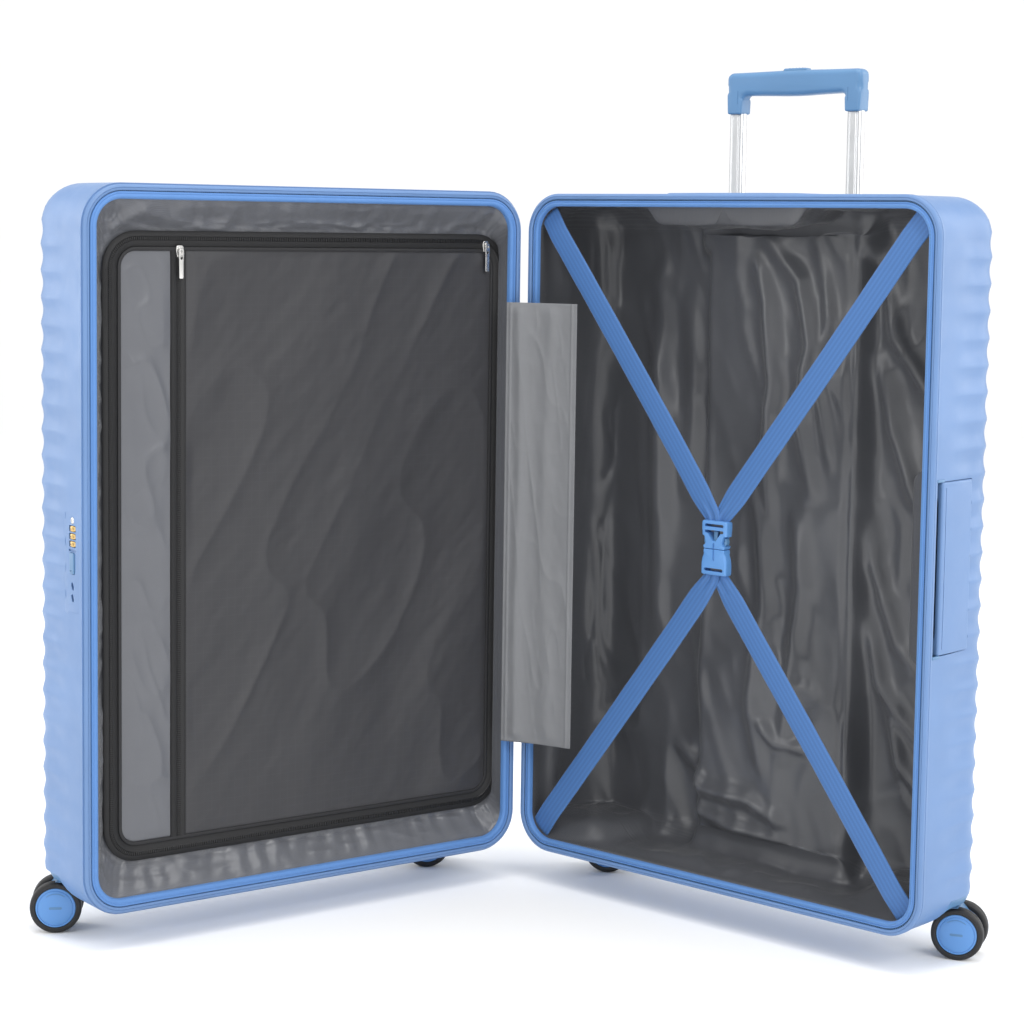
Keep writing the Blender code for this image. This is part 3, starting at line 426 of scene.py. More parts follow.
class Finish:
    """A node material with short ways to add nodes and join them."""

    def __init__(self, name, colour, roughness, metallic=0.0):
        self.material = bpy.data.materials.new(name)
        self.material.use_nodes = True
        self.tree = self.material.node_tree
        self.shader = self.tree.nodes["Principled BSDF"]
        self.set(Roughness=roughness, Metallic=metallic)
        self.colour = tuple(colour)
        self.shader.inputs["Base Color"].default_value = (*colour, 1.0)
        self.material.diffuse_color = (*colour, 1.0)

    def set(self, **values):
        """Set the shader's own sockets; an underscore stands for a space."""
        for key, value in values.items():
            self.shader.inputs[key.replace("_", " ")].default_value = value

    def node(self, kind, inputs=None, **settings):
        """Add a node; inputs maps socket names or numbers to values or other sockets."""
        made = self.tree.nodes.new("ShaderNode" + kind)
        for key, value in settings.items():
            setattr(made, key, value)
        for key, value in (inputs or {}).items():
            socket = made.inputs[key]
            if isinstance(value, bpy.types.NodeSocket):
                self.tree.links.new(value, socket)
            else:
                socket.default_value = value
        return made

    def place(self, scale=(1, 1, 1), source="Object", turn=(0, 0, 0)):
        """Coordinates of the piece or of its UV map, turned and scaled."""
        start = self.node("TexCoord").outputs[source]
        return self.node("Mapping", {"Vector": start, "Scale": scale, "Rotation": turn}).outputs[0]

    def noise(self, vector, scale, detail=3.0, rough=0.55):
        """Soft random cloud, from zero to one."""
        return self.node("TexNoise", {"Vector": vector, "Scale": scale, "Detail": detail,
                                      "Roughness": rough}).outputs["Fac"]

    def wave(self, vector, scale, direction="X", shape="SIN", bend=0.0):
        """Parallel bands across one direction."""
        return self.node("TexWave", {"Vector": vector, "Scale": scale, "Distortion": bend},
                         bands_direction=direction, wave_profile=shape).outputs["Fac"]

    def math(self, operation, first, second=0.0, clamp=False):
        """Arithmetic of two numbers or sockets."""
        return self.node("Math", {0: first, 1: second}, operation=operation, use_clamp=clamp).outputs[0]

    def band(self, value, low, high, to_low=0.0, to_high=1.0):
        """Stretch a value from one range to another, held at both ends."""
        return self.node("MapRange", {"Value": value, "From Min": low, "From Max": high,
                                      "To Min": to_low, "To Max": to_high}).outputs[0]

    def mix(self, share, first, second):
        """Blend of two colours."""
        made = self.node("Mix", data_type="RGBA")
        for number, value in ((0, share), (6, first), (7, second)):
            if isinstance(value, bpy.types.NodeSocket):
                self.tree.links.new(value, made.inputs[number])
            else:
                made.inputs[number].default_value = value if number == 0 else (*value, 1.0)
        return made.outputs[2]

    def shade(self, factor):
        """The finish's own colour, lighter or darker by a factor."""
        return tuple(min(1.0, part * factor) for part in self.colour)

    def paint(self, socket):
        """Use a socket as the base colour."""
        self.tree.links.new(socket, self.shader.inputs["Base Color"])

    def gloss(self, socket):
        """Use a socket as the roughness."""
        self.tree.links.new(socket, self.shader.inputs["Roughness"])

    def relief(self, *layers):
        """Bumps laid over each other, each a height socket, a strength and a depth in metres."""
        normal = None
        for height, strength, depth in layers:
            inputs = {"Height": height, "Strength": strength, "Distance": depth}
            if normal is not None:
                inputs["Normal"] = normal
            normal = self.node("Bump", inputs).outputs[0]
        self.tree.links.new(normal, self.shader.inputs["Normal"])


def moulded(name, colour, roughness, grain=2600.0, depth=0.00006, coat=0.0):
    """Satin moulded plastic: fine orange peel, slow colour drift, and faint scuffs that shine."""
    finish = Finish(name, colour, roughness)
    spot = finish.place()
    drift = finish.noise(spot, 9.0, 2.0)
    finish.paint(finish.mix(finish.band(drift, 0.3, 0.7), finish.shade(0.95), finish.shade(1.04)))
    peel = finish.noise(spot, grain, 2.0)
    scuff = finish.band(finish.noise(finish.place((30, 30, 420), turn=(0.2, 0.4, 0.3)), 3.0, 4.0), 0.62, 0.80)
    haze = finish.band(finish.noise(spot, 60.0, 4.0), 0.3, 0.7, roughness - 0.035, roughness + 0.05)
    finish.gloss(finish.math("ADD", haze, finish.math("MULTIPLY", scuff, 0.07)))
    finish.relief((peel, 0.35, depth), (finish.noise(spot, 240.0, 2.0), 0.12, depth * 3))
    finish.set(Coat_Weight=coat, Coat_Roughness=0.25, Specular_IOR_Level=0.5)
    return finish.material


def woven(name, colour, roughness, thread=0.0009, depth=0.00007, sheen=0.15, contrast=0.12,
          drift=0.06, ripstop=0.0, source="UV"):
    """Plain woven cloth: warp and weft bands that take turns on top, with slubs, a slow drift of
    shade and, where asked, the thicker squares of a ripstop."""
    finish = Finish(name, colour, roughness)
    spot = finish.place(source=source)
    rate = 1.0 / thread / 20.0 * math.pi
    warp, weft = finish.wave(spot, rate, "X"), finish.wave(spot, rate, "Y")
    slub = finish.noise(finish.place((60, 900, 900), source), 1.0, 2.0)
    turns = finish.math("ABSOLUTE", finish.math("SUBTRACT", warp, weft))
    cloth = finish.math("ADD", finish.math("MULTIPLY", turns, 0.75), finish.math("MULTIPLY", slub, 0.4))
    if ripstop:
        lines = finish.math("MAXIMUM",
                            finish.band(finish.wave(spot, 1 / ripstop / 20 * math.pi, "X"), 0.93, 1.0),
                            finish.band(finish.wave(spot, 1 / ripstop / 20 * math.pi, "Y"), 0.93, 1.0))
        cloth = finish.math("ADD", cloth, finish.math("MULTIPLY", lines, 0.35))
    tone = finish.band(cloth, 0.1, 1.0)
    weave = finish.mix(tone, finish.shade(1 - contrast), finish.shade(1 + contrast))
    cloudy = finish.band(finish.noise(finish.place(source=source), 14.0, 3.0), 0.25, 0.75)
    dark = finish.mix(0.5, finish.shade(1 - drift * 2), finish.shade(1 - drift * 2))
    finish.paint(finish.mix(finish.math("MULTIPLY", cloudy, 0.5), weave, dark))
    finish.gloss(finish.band(cloth, 0.1, 1.0, roughness + 0.08, roughness - 0.05))
    finish.relief((cloth, 0.5, depth))
    finish.set(Sheen_Weight=sheen, Sheen_Roughness=0.35, Specular_IOR_Level=0.5)
    return finish.material


def webbing_finish(name, colour):
    """Elastic webbing: rows of chevron stitches between ribs, read from the strap's own map, whose
    first direction runs across it and whose second runs along it, in metres."""
    finish = Finish(name, colour, 0.62)
    spot = finish.place(source="UV")
    ribs = finish.wave(spot, 1 / 0.0022 / 20 * math.pi, "X")
    slant = finish.place((1, 1, 1), "UV", (0, 0, math.radians(38)))
    counter = finish.place((1, 1, 1), "UV", (0, 0, math.radians(-38)))
    twill = finish.math("MAXIMUM", finish.wave(slant, 1 / 0.0011 / 20 * math.pi, "Y"),
                        finish.wave(counter, 1 / 0.0011 / 20 * math.pi, "Y"))
    cloth = finish.math("MULTIPLY", ribs, finish.math("ADD", finish.math("MULTIPLY", twill, 0.6), 0.4))
    finish.paint(finish.mix(finish.band(cloth, 0.0, 0.9), finish.shade(0.88), finish.shade(1.10)))
    finish.relief((cloth, 0.6, 0.00005))
    finish.set(Sheen_Weight=0.2, Sheen_Roughness=0.4)
    return finish.material


def metal(name, colour, roughness, streak=(1, 1, 60), depth=0.00002):
    """Satin metal: fine streaks along one direction in shine and relief, over faint clouding."""
    finish = Finish(name, colour, roughness, 1.0)
    lines = finish.noise(finish.place(tuple(4000.0 / part for part in streak)), 1.0, 2.0)
    clouds = finish.noise(finish.place(), 40.0, 3.0)
    finish.paint(finish.mix(finish.band(clouds, 0.3, 0.7), finish.shade(0.94), finish.shade(1.03)))
    finish.gloss(finish.band(finish.math("ADD", finish.math("MULTIPLY", lines, 0.6),
                                         finish.math("MULTIPLY", clouds, 0.4)),
                             0.3, 0.7, roughness - 0.07, roughness + 0.09))
    finish.relief((lines, 0.25, depth))
    return finish.material


def rubber(name, colour, roughness):
    """Worn rubber or polyurethane: dusty speckle, fine grain and soft clouding in the shine."""
    finish = Finish(name, colour, roughness)
    spot = finish.place()
    dust = finish.band(finish.noise(spot, 500.0, 5.0), 0.55, 0.75)
    finish.paint(finish.mix(finish.math("MULTIPLY", dust, 0.35), finish.shade(1.0), (0.06, 0.058, 0.055)))
    finish.gloss(finish.band(finish.noise(spot, 90.0, 3.0), 0.3, 0.7, roughness - 0.08, roughness + 0.08))
    finish.relief((finish.noise(spot, 1800.0, 2.0), 0.3, 0.00008))
    return finish.material


FINISHES = {}


def finish(key):
    """The material of one finish, made on first use from the panel's colours."""
    if key not in FINISHES:
        look = bpy.context.scene.suitcase_looks
        shell, deep = tuple(look.shell_colour), tuple(look.trim_colour)
        lining, divider = tuple(look.lining_colour), tuple(look.divider_colour)
        light = tuple(min(1, part * 1.6) for part in lining)
        makers = {
            "shell": lambda: moulded("satin blue shell", shell, 0.40),
            "trim": lambda: moulded("satin blue trim", deep, 0.36, 3200.0, 0.00004),
            "wheel_cap": lambda: moulded("blue wheel cap", tuple(look.cap_colour), 0.33, 3000.0, 0.00003),
            "buckle": lambda: moulded("blue buckle", tuple(look.cap_colour), 0.34, 3000.0, 0.00003),
            "binding": lambda: woven("blue zip binding", tuple(look.binding_colour), 0.6, 0.0010, 0.00012,
                                     0.25, 0.10),
            "thread": lambda: woven("blue stitching", deep, 0.55, 0.0004, 0.00005, 0.2, 0.1, source="Object"),
            "zip_blue": lambda: moulded("blue zip coil", tuple(part * 0.7 for part in deep), 0.4, 3000.0),
            "lining": lambda: woven("dark grey satin lining", lining, look.satin_roughness, 0.0007, 0.00003,
                                    0.12, 0.08, 0.05),
            "strip": lambda: woven("mid grey satin", light, look.satin_roughness + 0.04, 0.0008, 0.00004,
                                   0.15, 0.08, 0.08),
            "margin": lambda: woven("puckered grey satin", light, look.satin_roughness, 0.0008, 0.00004, 0.15,
                                    0.08, 0.08, source="Object"),
            "divider": lambda: woven("charcoal ripstop", divider, 0.48, 0.0011, 0.00008, 0.1, 0.16, 0.06,
                                     0.0045),
            "flap": lambda: woven("grey satin flap", tuple(look.flap_colour), 0.42, 0.0008, 0.00004, 0.18,
                                  0.09, 0.08),
            "zip_black": lambda: woven("black zip tape", (0.010, 0.010, 0.011), 0.62, 0.0009, 0.00012, 0.1,
                                       0.3),
            "coil_black": lambda: moulded("black zip coil", (0.012, 0.012, 0.013), 0.36, 3000.0),
            "seam": lambda: woven("dark seam thread", (0.012, 0.012, 0.014), 0.6, 0.0004, 0.00005, 0.1, 0.1,
                                  source="Object"),
            "webbing": lambda: webbing_finish("blue elastic webbing", tuple(look.webbing_colour)),
            "tyre": lambda: rubber("black polyurethane tyre", (0.009, 0.009, 0.010), 0.55),
            "tube": lambda: metal("satin anodised tube", (0.50, 0.51, 0.52), 0.34, (1, 1, 60)),
            "nickel": lambda: metal("nickel plated zinc", (0.72, 0.71, 0.69), 0.22, (1, 1, 12)),
            "brass": lambda: metal("satin brass dial", (0.60, 0.42, 0.18), 0.34, (12, 12, 1)),
            "black": lambda: moulded("black moulding", (0.014, 0.014, 0.015), 0.45, 2200.0),
            # painted shade: the pocket cups get a near-black blue, a tenth of the trim colour, standing for the
            # shade inside the handle pockets
            "slot_dark": lambda: moulded("dark blue recess", tuple(part * 0.10 for part in deep), 0.5),
            "digit": lambda: moulded("dial digits", (0.02, 0.02, 0.02), 0.5),
        }
        FINISHES[key] = makers[key]()
    return FINISHES[key]


# ---------------------------------------------------------------- shells

def case_outline(inset, steps=14, straight=12):
    """The shell's rounded outline in the u and z plane, moved inwards by an inset."""
    return rounded_outline(CASE_WIDTH - 2 * inset, CASE_HEIGHT - 2 * inset, max(CORNER - inset, 0.002),
                           steps, straight, (CASE_MIDDLE, MID_HEIGHT))


def section_columns(front, side_count, arc_count, back_count):
    """One level section of a shell: for each column the place on the inner box and the direction
    outwards, from the free edge's mouth round the back face to the spine's mouth."""
    low, high, deep = SPINE_GAP + CORNER, CASE_SIDE - CORNER, CASE_DEPTH - CORNER
    side = np.linspace(front, deep, side_count)
    turn = np.linspace(0, np.pi / 2, arc_count + 2)[1:-1]
    back = np.linspace(high, low, back_count)
    seat = np.concatenate([
        np.stack([np.full(side_count, high), side], -1), np.tile([high, deep], (arc_count, 1)),
        np.stack([back, np.full(back_count, deep)], -1), np.tile([low, deep], (arc_count, 1)),
        np.stack([np.full(side_count, low), side[::-1]], -1)])
    out = np.concatenate([
        np.tile([1.0, 0.0], (side_count, 1)), np.stack([np.cos(turn), np.sin(turn)], -1),
        np.tile([0.0, 1.0], (back_count, 1)), np.stack([-np.cos(turn[::-1]), np.sin(turn[::-1])], -1),
        np.tile([-1.0, 0.0], (side_count, 1))])
    return seat, out


def case_surface(offset, front, heights, columns, arc_rows=10, cap_rows=8):
    """The rounded box of a shell as a grid of points and directions. Each row is a level section:
    the inner box's outline pushed out by the corner radius times the cosine of the row's tilt, and
    raised by the sine. The last rows at each end close the top and bottom to a point at the mouth."""
    seat, out = columns
    radius = CORNER - offset
    low, high = CASE_FLOOR + CORNER, CASE_TOP - CORNER
    tilts = np.concatenate([np.linspace(-np.pi / 2, 0, arc_rows + 1)[:-1], np.zeros(len(heights)),
                            np.linspace(0, np.pi / 2, arc_rows + 1)[1:]])
    base = np.concatenate([np.full(arc_rows, low), heights, np.full(arc_rows, high)])
    spread = radius * np.cos(tilts)
    plan = seat[None] + out[None] * spread[:, None, None]
    level = base + radius * np.sin(tilts)
    points = np.concatenate([plan, np.broadcast_to(level[:, None, None], plan.shape[:2] + (1,))], -1)
    ways = np.concatenate([out[None] * np.cos(tilts)[:, None, None],
                           np.broadcast_to(np.sin(tilts)[:, None, None], plan.shape[:2] + (1,))], -1)
    pole = np.array([CASE_MIDDLE, front])
    shrink = np.linspace(0, 1, cap_rows + 1)[:-1]
    flat = pole + (seat - pole)[None] * shrink[:, None, None]

    def cap(order, height, way):
        rows = np.concatenate([flat[order], np.full(flat.shape[:2] + (1,), height)], -1)
        return rows, np.broadcast_to(np.array([0.0, 0.0, way]), rows.shape)

    below, below_ways = cap(slice(None), low - radius, -1.0)
    above, above_ways = cap(slice(None, None, -1), high + radius, 1.0)
    return (np.concatenate([below, points, above]), np.concatenate([below_ways, ways, above_ways]))


def rib_depth(points, ways, look):
    """How far the wall falls in between its crests: the size of a sine over the rib pitch, whose
    sharp zeros are the crests, fading towards the mouth and over the top and bottom."""
    pitch = look.rib_pitch
    phase = (CASE_TOP - 0.031 - points[..., 2]) / pitch * np.pi
    trough = np.sqrt(np.sin(phase) ** 2 + 0.015) - 0.12
    level = 1 - np.abs(ways[..., 2]) ** 2
    fade = ease(0.030, 0.075, points[..., 1]) * 0.92 + 0.08 * ease(0.016, 0.024, points[..., 1])
    ends = ease(CASE_FLOOR + 0.022, CASE_FLOOR + 0.045, points[..., 2]) * (
        1 - ease(CASE_TOP - 0.030, CASE_TOP - 0.020, points[..., 2]))
    return look.rib_depth * trough * level * fade * ends


def handle_place(wall):
    """Places across, up and deep on a wall with a carry handle: along the handle, outwards from the
    wall, and v."""
    if wall == "side":
        return lambda across, up, deep: to_world("back",
                                                 np.stack([CASE_SIDE + up, deep, SIDE_HANDLE_HEIGHT + across],
                                                          -1))
    return lambda across, up, deep: to_world("back",
                                             np.stack([CASE_MIDDLE + across, deep, CASE_TOP + up], -1))


def handle_box(name, wall, across, reach, deep, rounding=0.0, corner=None):
    """A box on a carry handle's wall, from its spans along, out of the wall and in v."""
    middle, half = sum(across) / 2, (across[1] - across[0]) / 2
    rise, tall = sum(reach) / 2, (reach[1] - reach[0]) / 2
    outline = rounded_outline(2 * half, 2 * tall, max(corner or rounding, 1e-5), 4, centre=(middle, rise))
    return slab(name, outline, deep[0], deep[1], rounding, handle_place(wall))


def upright(name, side, spot, radius, low, high, sides=64):
    """A vertical round tool on a shell."""
    centre = to_world(side, (*spot, 0.0))
    return lathe(name, [(0, low), (radius, low), (radius, high), (0, high)], centre, (0, 0, 1), sides)


def make_shell(side, look):
    """One ribbed shell with its wheel wells and the seats of its fittings cut out."""
    heights = np.linspace(CASE_FLOOR + CORNER, CASE_TOP - CORNER, look.shell_rows)
    columns = section_columns(RIM_PLANE + 0.0035, 14, 11, 36)
    points, ways = case_surface(0.0, RIM_PLANE + 0.0035, heights, columns)
    points = points - ways * rib_depth(points, ways, look)[..., None]
    rows, count = points.shape[:2]
    shell = piece(side + "_shell_body", to_world(side, points), quads(rows, count), weld=1e-5)
    inner = shell.modifiers.new("wall", "SOLIDIFY")
    inner.thickness, inner.offset = 0.0023, -1.0
    settle(shell)
    tidy_mesh(shell.data, outward=True)
    tools = [upright("well", side, spot, HOUSING_RADIUS + FIT, 0.0, HOUSING_TOP + FIT)
             for spot in caster_spots().values()]
    if side == "back":
        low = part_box("trolley_bezel")[0]
        tools.append(block("seat", (TROLLEY[0] - BEZEL_HALF - FIT, BEZEL_FRONT - FIT, low.z - FIT),
                           (TROLLEY[0] + BEZEL_HALF + FIT, 0.2, 0.9), 0.002, on_shell("back")))
        for wall in ("side", "top"):
            tools.append(handle_box("pocket", wall, (-HANDLE_HALF, HANDLE_HALF), (-HANDLE_DEEP, 0.02),
                                    HANDLE_SPAN, 0.0015, 0.004))
    else:
        tools.append(block("window", (CASE_SIDE - 0.05, LOCK_SPAN[0] + 0.003, LOCK_HEIGHT - 0.0485),
                           (CASE_SIDE + 0.05, LOCK_SPAN[1] - 0.003, LOCK_HEIGHT + 0.0485), 0.002,
                           on_shell("front")))
    carve(shell, [join("wells", tools)], crease=34)
    dress(shell, side + "_shell", finish("shell"), "shell", side + "_shell")
    return shell


def make_pocket(wall):
    """The moulded cup that closes a carry handle's pocket behind the wall, coloured near black as painted shade for
    the dark inside of the pocket.
    """
    half, deep = HANDLE_HALF, HANDLE_DEEP
    low, high = HANDLE_SPAN
    cup = handle_box(wall + "_handle_cup", wall, (-half - 0.0010, half + 0.0010), (-deep - 0.0010, -0.0026),
                     (low - 0.0010, high + 0.0010), 0.0010, 0.004)
    carve(cup, [handle_box("hollow", wall, (-half, half), (-deep, 0.02), (low, high), 0.0015, 0.004)])
    dress(cup, "back_shell", finish("slot_dark"), "shell")


def make_rim(side):
    """The hard band round a shell's mouth: a lipped channel carried round the outline, with a fine
    line along its face and a step where it meets the ribbed wall."""
    profile = [(0.0004, 0.0108), (-0.0006, 0.0104), (-0.0008, 0.0098), (-0.0008, 0.0080), (-0.0002, 0.0076),
               (-0.0002, 0.0072), (-0.0008, 0.0068), (-0.0008, 0.0046), (-0.0004, 0.0034), (0.0006, 0.0027),
               (0.0020, 0.0024), (0.0023, 0.0029), (0.0026, 0.0029), (0.0029, 0.0024), (0.0042, 0.0024),
               (0.0049, 0.0028), (0.0052, 0.0036), (0.0052, 0.0085), (0.0028, 0.0085), (0.0028, 0.0108)]
    rows = []
    for inset, depth in profile:
        loop = case_outline(inset)
        rows.append(np.stack([loop[:, 0], np.full(len(loop), depth), loop[:, 1]], -1))
    points = np.array(rows)
    rim = piece(side + "_rim_band", to_world(side, points), quads(*points.shape[:2], True, True),
                outward=True, crease=38)
    dress(rim, side + "_shell", finish("shell"), "shell")


def make_binding(side):
    """The zip's woven binding inside the rim: a rolled bead, a flat padded tape and a turned hem,
    carried round the outline, then its stitches and the teeth of the zip in the groove."""
    bead = [(0.0073 + 0.0008 * math.cos(a), 0.0040 - 0.0010 * math.sin(a))
            for a in np.linspace(math.pi, 0.25, 7)]
    profile = [(0.0064, 0.0085)] + bead + [(0.0083, 0.0037), (0.0089, 0.0031), (0.0101, 0.0027),
                                           (0.0113, 0.0028),
                                          (0.0122, 0.0034), (0.0127, 0.0048), (0.0127, 0.0085)]
    rows, distance = [], 0.0
    across = [0.0]
    for first, second in zip(profile, profile[1:]):
        distance += math.dist(first, second)
        across.append(distance)
    for inset, depth in profile:
        loop = case_outline(inset)
        rows.append(np.stack([loop[:, 0], np.full(len(loop), depth), loop[:, 1]], -1))
    points = np.array(rows)
    points = np.concatenate([points, points[:, :1]], 1)
    step = np.linalg.norm(np.diff(points[5], axis=0), axis=1)
    along = np.concatenate([[0], np.cumsum(step)])
    ripple = 0.00022 * np.sin(along[None] * 2 * np.pi / 0.0031) * np.sin(
        np.linspace(0, np.pi, len(profile)))[:, None]
    points[..., 1] += ripple
    uv = np.stack(np.broadcast_arrays(np.array(across)[:, None], along[None]), -1)
    binding = piece(side + "_zip_binding", to_world(side, points), quads(*points.shape[:2]), uv=uv, crease=60)
    thick = binding.modifiers.new("cloth", "SOLIDIFY")
    thick.thickness, thick.offset = 0.0007, -1.0
    settle(binding, 60)
    dress(binding, side + "_shell", finish("binding"), "zip_binding", side + "_zip_tape")
    for name, inset, depth, spacing, size, key in (
            ("stitching", 0.0102, 0.0027, 0.0032, (0.0021, 0.0006, 0.00035), "thread"),
            ("zip_teeth", 0.0058, 0.0052, 0.0022, (0.0013, 0.0022, 0.0012), "zip_blue")):
        loop = case_outline(inset)
        spots, ways = along_loop(loop, spacing)
        spots = np.stack([spots[:, 0], np.full(len(spots), depth), spots[:, 1]], -1)
        ways = np.stack([ways[:, 0], np.zeros(len(ways)), ways[:, 1]], -1)
        dress(dashes(side + "_" + name, side, spots, ways, (0, -1.0, 0), size), side + "_shell",
              finish(key), "zip_binding")


# ---------------------------------------------------------------- linings

def lining_bulges(side, points):
    """How far the lining stands off the wall over what is behind it, along its own direction."""
    u, v, z = points[..., 0], points[..., 1], points[..., 2]
    stand = np.zeros(u.shape)
    if side == "back":
        half = 0.096
        channel = (ease(-half - 0.012, -half + 0.006, u - TROLLEY[0])
                   * (1 - ease(half - 0.006, half + 0.012, u - TROLLEY[0])))
        stand = np.maximum(stand, 0.0255 * channel * ease(0.080, 0.105, v))
        grip = (ease(-0.120, -0.098, u - TROLLEY[0]) * (1 - ease(0.098, 0.120, u - TROLLEY[0]))
                * ease(0.680, 0.702, z) * ease(0.078, 0.100, v))
        stand = np.maximum(stand, 0.028 * grip)
        near = ease(0.0074, 0.0100, v) * (1 - ease(0.076, 0.094, v))
        side_pocket = near * ease(0.297, 0.312, z) * (1 - ease(0.484, 0.499, z)) * ease(0.46, 0.49, u)
        top_pocket = (near * ease(-0.100, -0.086, u - CASE_MIDDLE)
                      * (1 - ease(0.086, 0.100, u - CASE_MIDDLE)) * ease(0.70, 0.73, z))
        stand = np.maximum(stand, 0.0190 * np.maximum(side_pocket, top_pocket))
    else:
        near = ease(0.0074, 0.0100, v) * (1 - ease(0.046, 0.060, v))
        lock = near * ease(0.324, 0.338, z) * (1 - ease(0.434, 0.448, z)) * ease(0.46, 0.49, u)
        stand = np.maximum(stand, 0.010 * lock)
    return stand


def lining_surface(side, rows, side_count, arc_count, back_count):
    """The lining as a grid: the case's rounded box at the lining's inset, standing off over the
    fittings, its mouth gathered in to the binding's hem."""
    heights = np.linspace(CASE_FLOOR + CORNER, CASE_TOP - CORNER, rows)
    columns = section_columns(0.0075, side_count, arc_count, back_count)
    points, ways = case_surface(0.0066, 0.0075, heights, columns, 12, 22)
    stand = lining_bulges(side, points)
    mouth = 0.0058 * (1 - ease(0.0075, 0.034, points[..., 1]))
    return points, ways, stand, mouth


def clear_of_wells(points, margin=0.0040):
    """Lift the lining over the wheel housings: a point over a housing goes up to its top, easing
    down a slope just outside it."""
    points = points.copy()
    for spot in caster_spots().values():
        reach = np.hypot(points[..., 0] - spot[0], points[..., 1] - spot[1])
        rim = HOUSING_RADIUS + 0.0075
        mound = HOUSING_TOP + margin + 0.0035 * creases(points * 22, 71)
        floor = mound - (mound - CASE_FLOOR) * ease(rim, rim + 0.055, reach)
        points[..., 2] = np.maximum(points[..., 2], floor)
    return points


def wrapped_uv(points):
    """Lengths along and across a grid of points, as a map in metres."""
    across = np.concatenate([np.zeros(points.shape[:1] + (1,)),
                             np.cumsum(np.linalg.norm(np.diff(points, axis=1), axis=-1), 1)], 1)
    middle = points.shape[1] // 2
    up = np.concatenate([[0], np.cumsum(np.linalg.norm(np.diff(points[:, middle], axis=0), axis=-1))])
    across = across - across[:, middle:middle + 1]
    return np.stack([across, np.broadcast_to(up[:, None], across.shape)], -1)


def soften(cloth):
    """Divide a lining's faces once, which rounds its folds."""
    smooth = cloth.modifiers.new("smooth", "SUBSURF")
    smooth.levels = smooth.render_levels = 1
    settle(cloth)


BACK_FOLDS = (
    # path in u and z, half width, height, sharpness
    (((0.245, 0.700), (0.262, 0.640), (0.270, 0.560), (0.262, 0.480), (0.272, 0.400)), 0.0085, 0.0090, 1.0),
    (((0.250, 0.715), (0.300, 0.665), (0.318, 0.600), (0.305, 0.520), (0.322, 0.440)), 0.0095, 0.0100, 1.0),
    (((0.322, 0.700), (0.335, 0.630), (0.325, 0.560), (0.340, 0.470)), 0.0060, 0.0055, 1.2),
    (((0.238, 0.470), (0.262, 0.400), (0.268, 0.320), (0.252, 0.230), (0.262, 0.150)), 0.0110, 0.0085, 1.0),
    (((0.300, 0.430), (0.312, 0.350), (0.300, 0.260), (0.292, 0.160)), 0.0090, 0.0080, 1.0),
    (((0.255, 0.300), (0.290, 0.255), (0.330, 0.240)), 0.0050, 0.0060, 1.2),
    (((0.245, 0.220), (0.285, 0.185), (0.335, 0.180)), 0.0055, 0.0070, 1.2),
    (((0.100, 0.690), (0.098, 0.560), (0.104, 0.400), (0.100, 0.250)), 0.0160, 0.0075, 1.0),
    (((0.140, 0.660), (0.146, 0.540), (0.140, 0.420)), 0.0130, 0.0050, 1.0),
    (((0.155, 0.330), (0.170, 0.240), (0.160, 0.150)), 0.0120, 0.0065, 1.0),
    (((0.385, 0.680), (0.405, 0.610), (0.440, 0.560), (0.480, 0.520)), 0.0085, 0.0095, 1.0),
    (((0.380, 0.600), (0.400, 0.520), (0.430, 0.450), (0.470, 0.420)), 0.0090, 0.0085, 1.0),
    (((0.372, 0.480), (0.385, 0.380), (0.415, 0.300), (0.450, 0.270)), 0.0085, 0.0080, 1.0),
    (((0.375, 0.340), (0.395, 0.260), (0.440, 0.200)), 0.0080, 0.0090, 1.0),
    (((0.400, 0.250), (0.420, 0.180), (0.470, 0.130)), 0.0070, 0.0080, 1.1),
    (((0.365, 0.230), (0.372, 0.150), (0.385, 0.090)), 0.0060, 0.0070, 1.1),
    (((0.130, 0.160), (0.190, 0.120), (0.250, 0.118), (0.300, 0.096)), 0.0075, 0.0100, 1.1),
    (((0.160, 0.100), (0.230, 0.085), (0.300, 0.080)), 0.0060, 0.0080, 1.1),
)


def make_back_lining(look):
    """The back shell's satin lining: gathered cloth with long folds down the trolley channel, loose
    diagonals beside it and heaps at the foot, relaxed as simulated cloth pinned at its hem and seams."""
    points, ways, stand, mouth = lining_surface("back", 104, 14, 14, 84)
    u, z = points[..., 0], points[..., 2]
    plane = np.stack([u, z], -1)
    flat_back = np.clip(ways[..., 1], 0, 1)
    fold = np.zeros(u.shape)
    for path, width, height, sharp in BACK_FOLDS:
        fold = np.maximum(fold, ridge(plane, path, width * 0.92, height * 1.55, sharp))
    fold = fold * (0.35 + 0.65 * flat_back)
    loose = creases(np.stack([u * 11, points[..., 1] * 9, z * 5.5], -1) + 7.3, 11) * 0.0062
    loose += creases(np.stack([(u + 0.4 * z) * 20, points[..., 1] * 14, (z - 0.5 * u) * 9], -1), 23) * 0.0034
    calm = 1 - 0.75 * (ease(0.02, 0.05, u) * (1 - ease(0.19, 0.215, u)) * ease(0.15, 0.2, z))
    loose = loose * (0.55 + 0.45 * calm) * ease(0.010, 0.045, points[..., 1])
    seam_u = TROLLEY[0] + 0.088
    seam = np.exp(-((u - seam_u) / 0.0028) ** 2) * flat_back * ease(0.085, 0.11, z)
    lift = stand + mouth + (fold + loose) * (1 - seam) * ease(0.012, 0.05, points[..., 1])
    points = clear_of_wells(points - ways * lift[..., None])
    uv = wrapped_uv(points)
    points = drape("back", points, ways, seam, look)
    rows, count = points.shape[:2]
    lining = piece("back_lining_cloth", to_world("back", points), quads(rows, count)[:, ::-1], uv=uv,
                   weld=0.0)
    soften(lining)
    dress(lining, "back_shell", finish("lining"), "lining", "back_lining")
    return lining


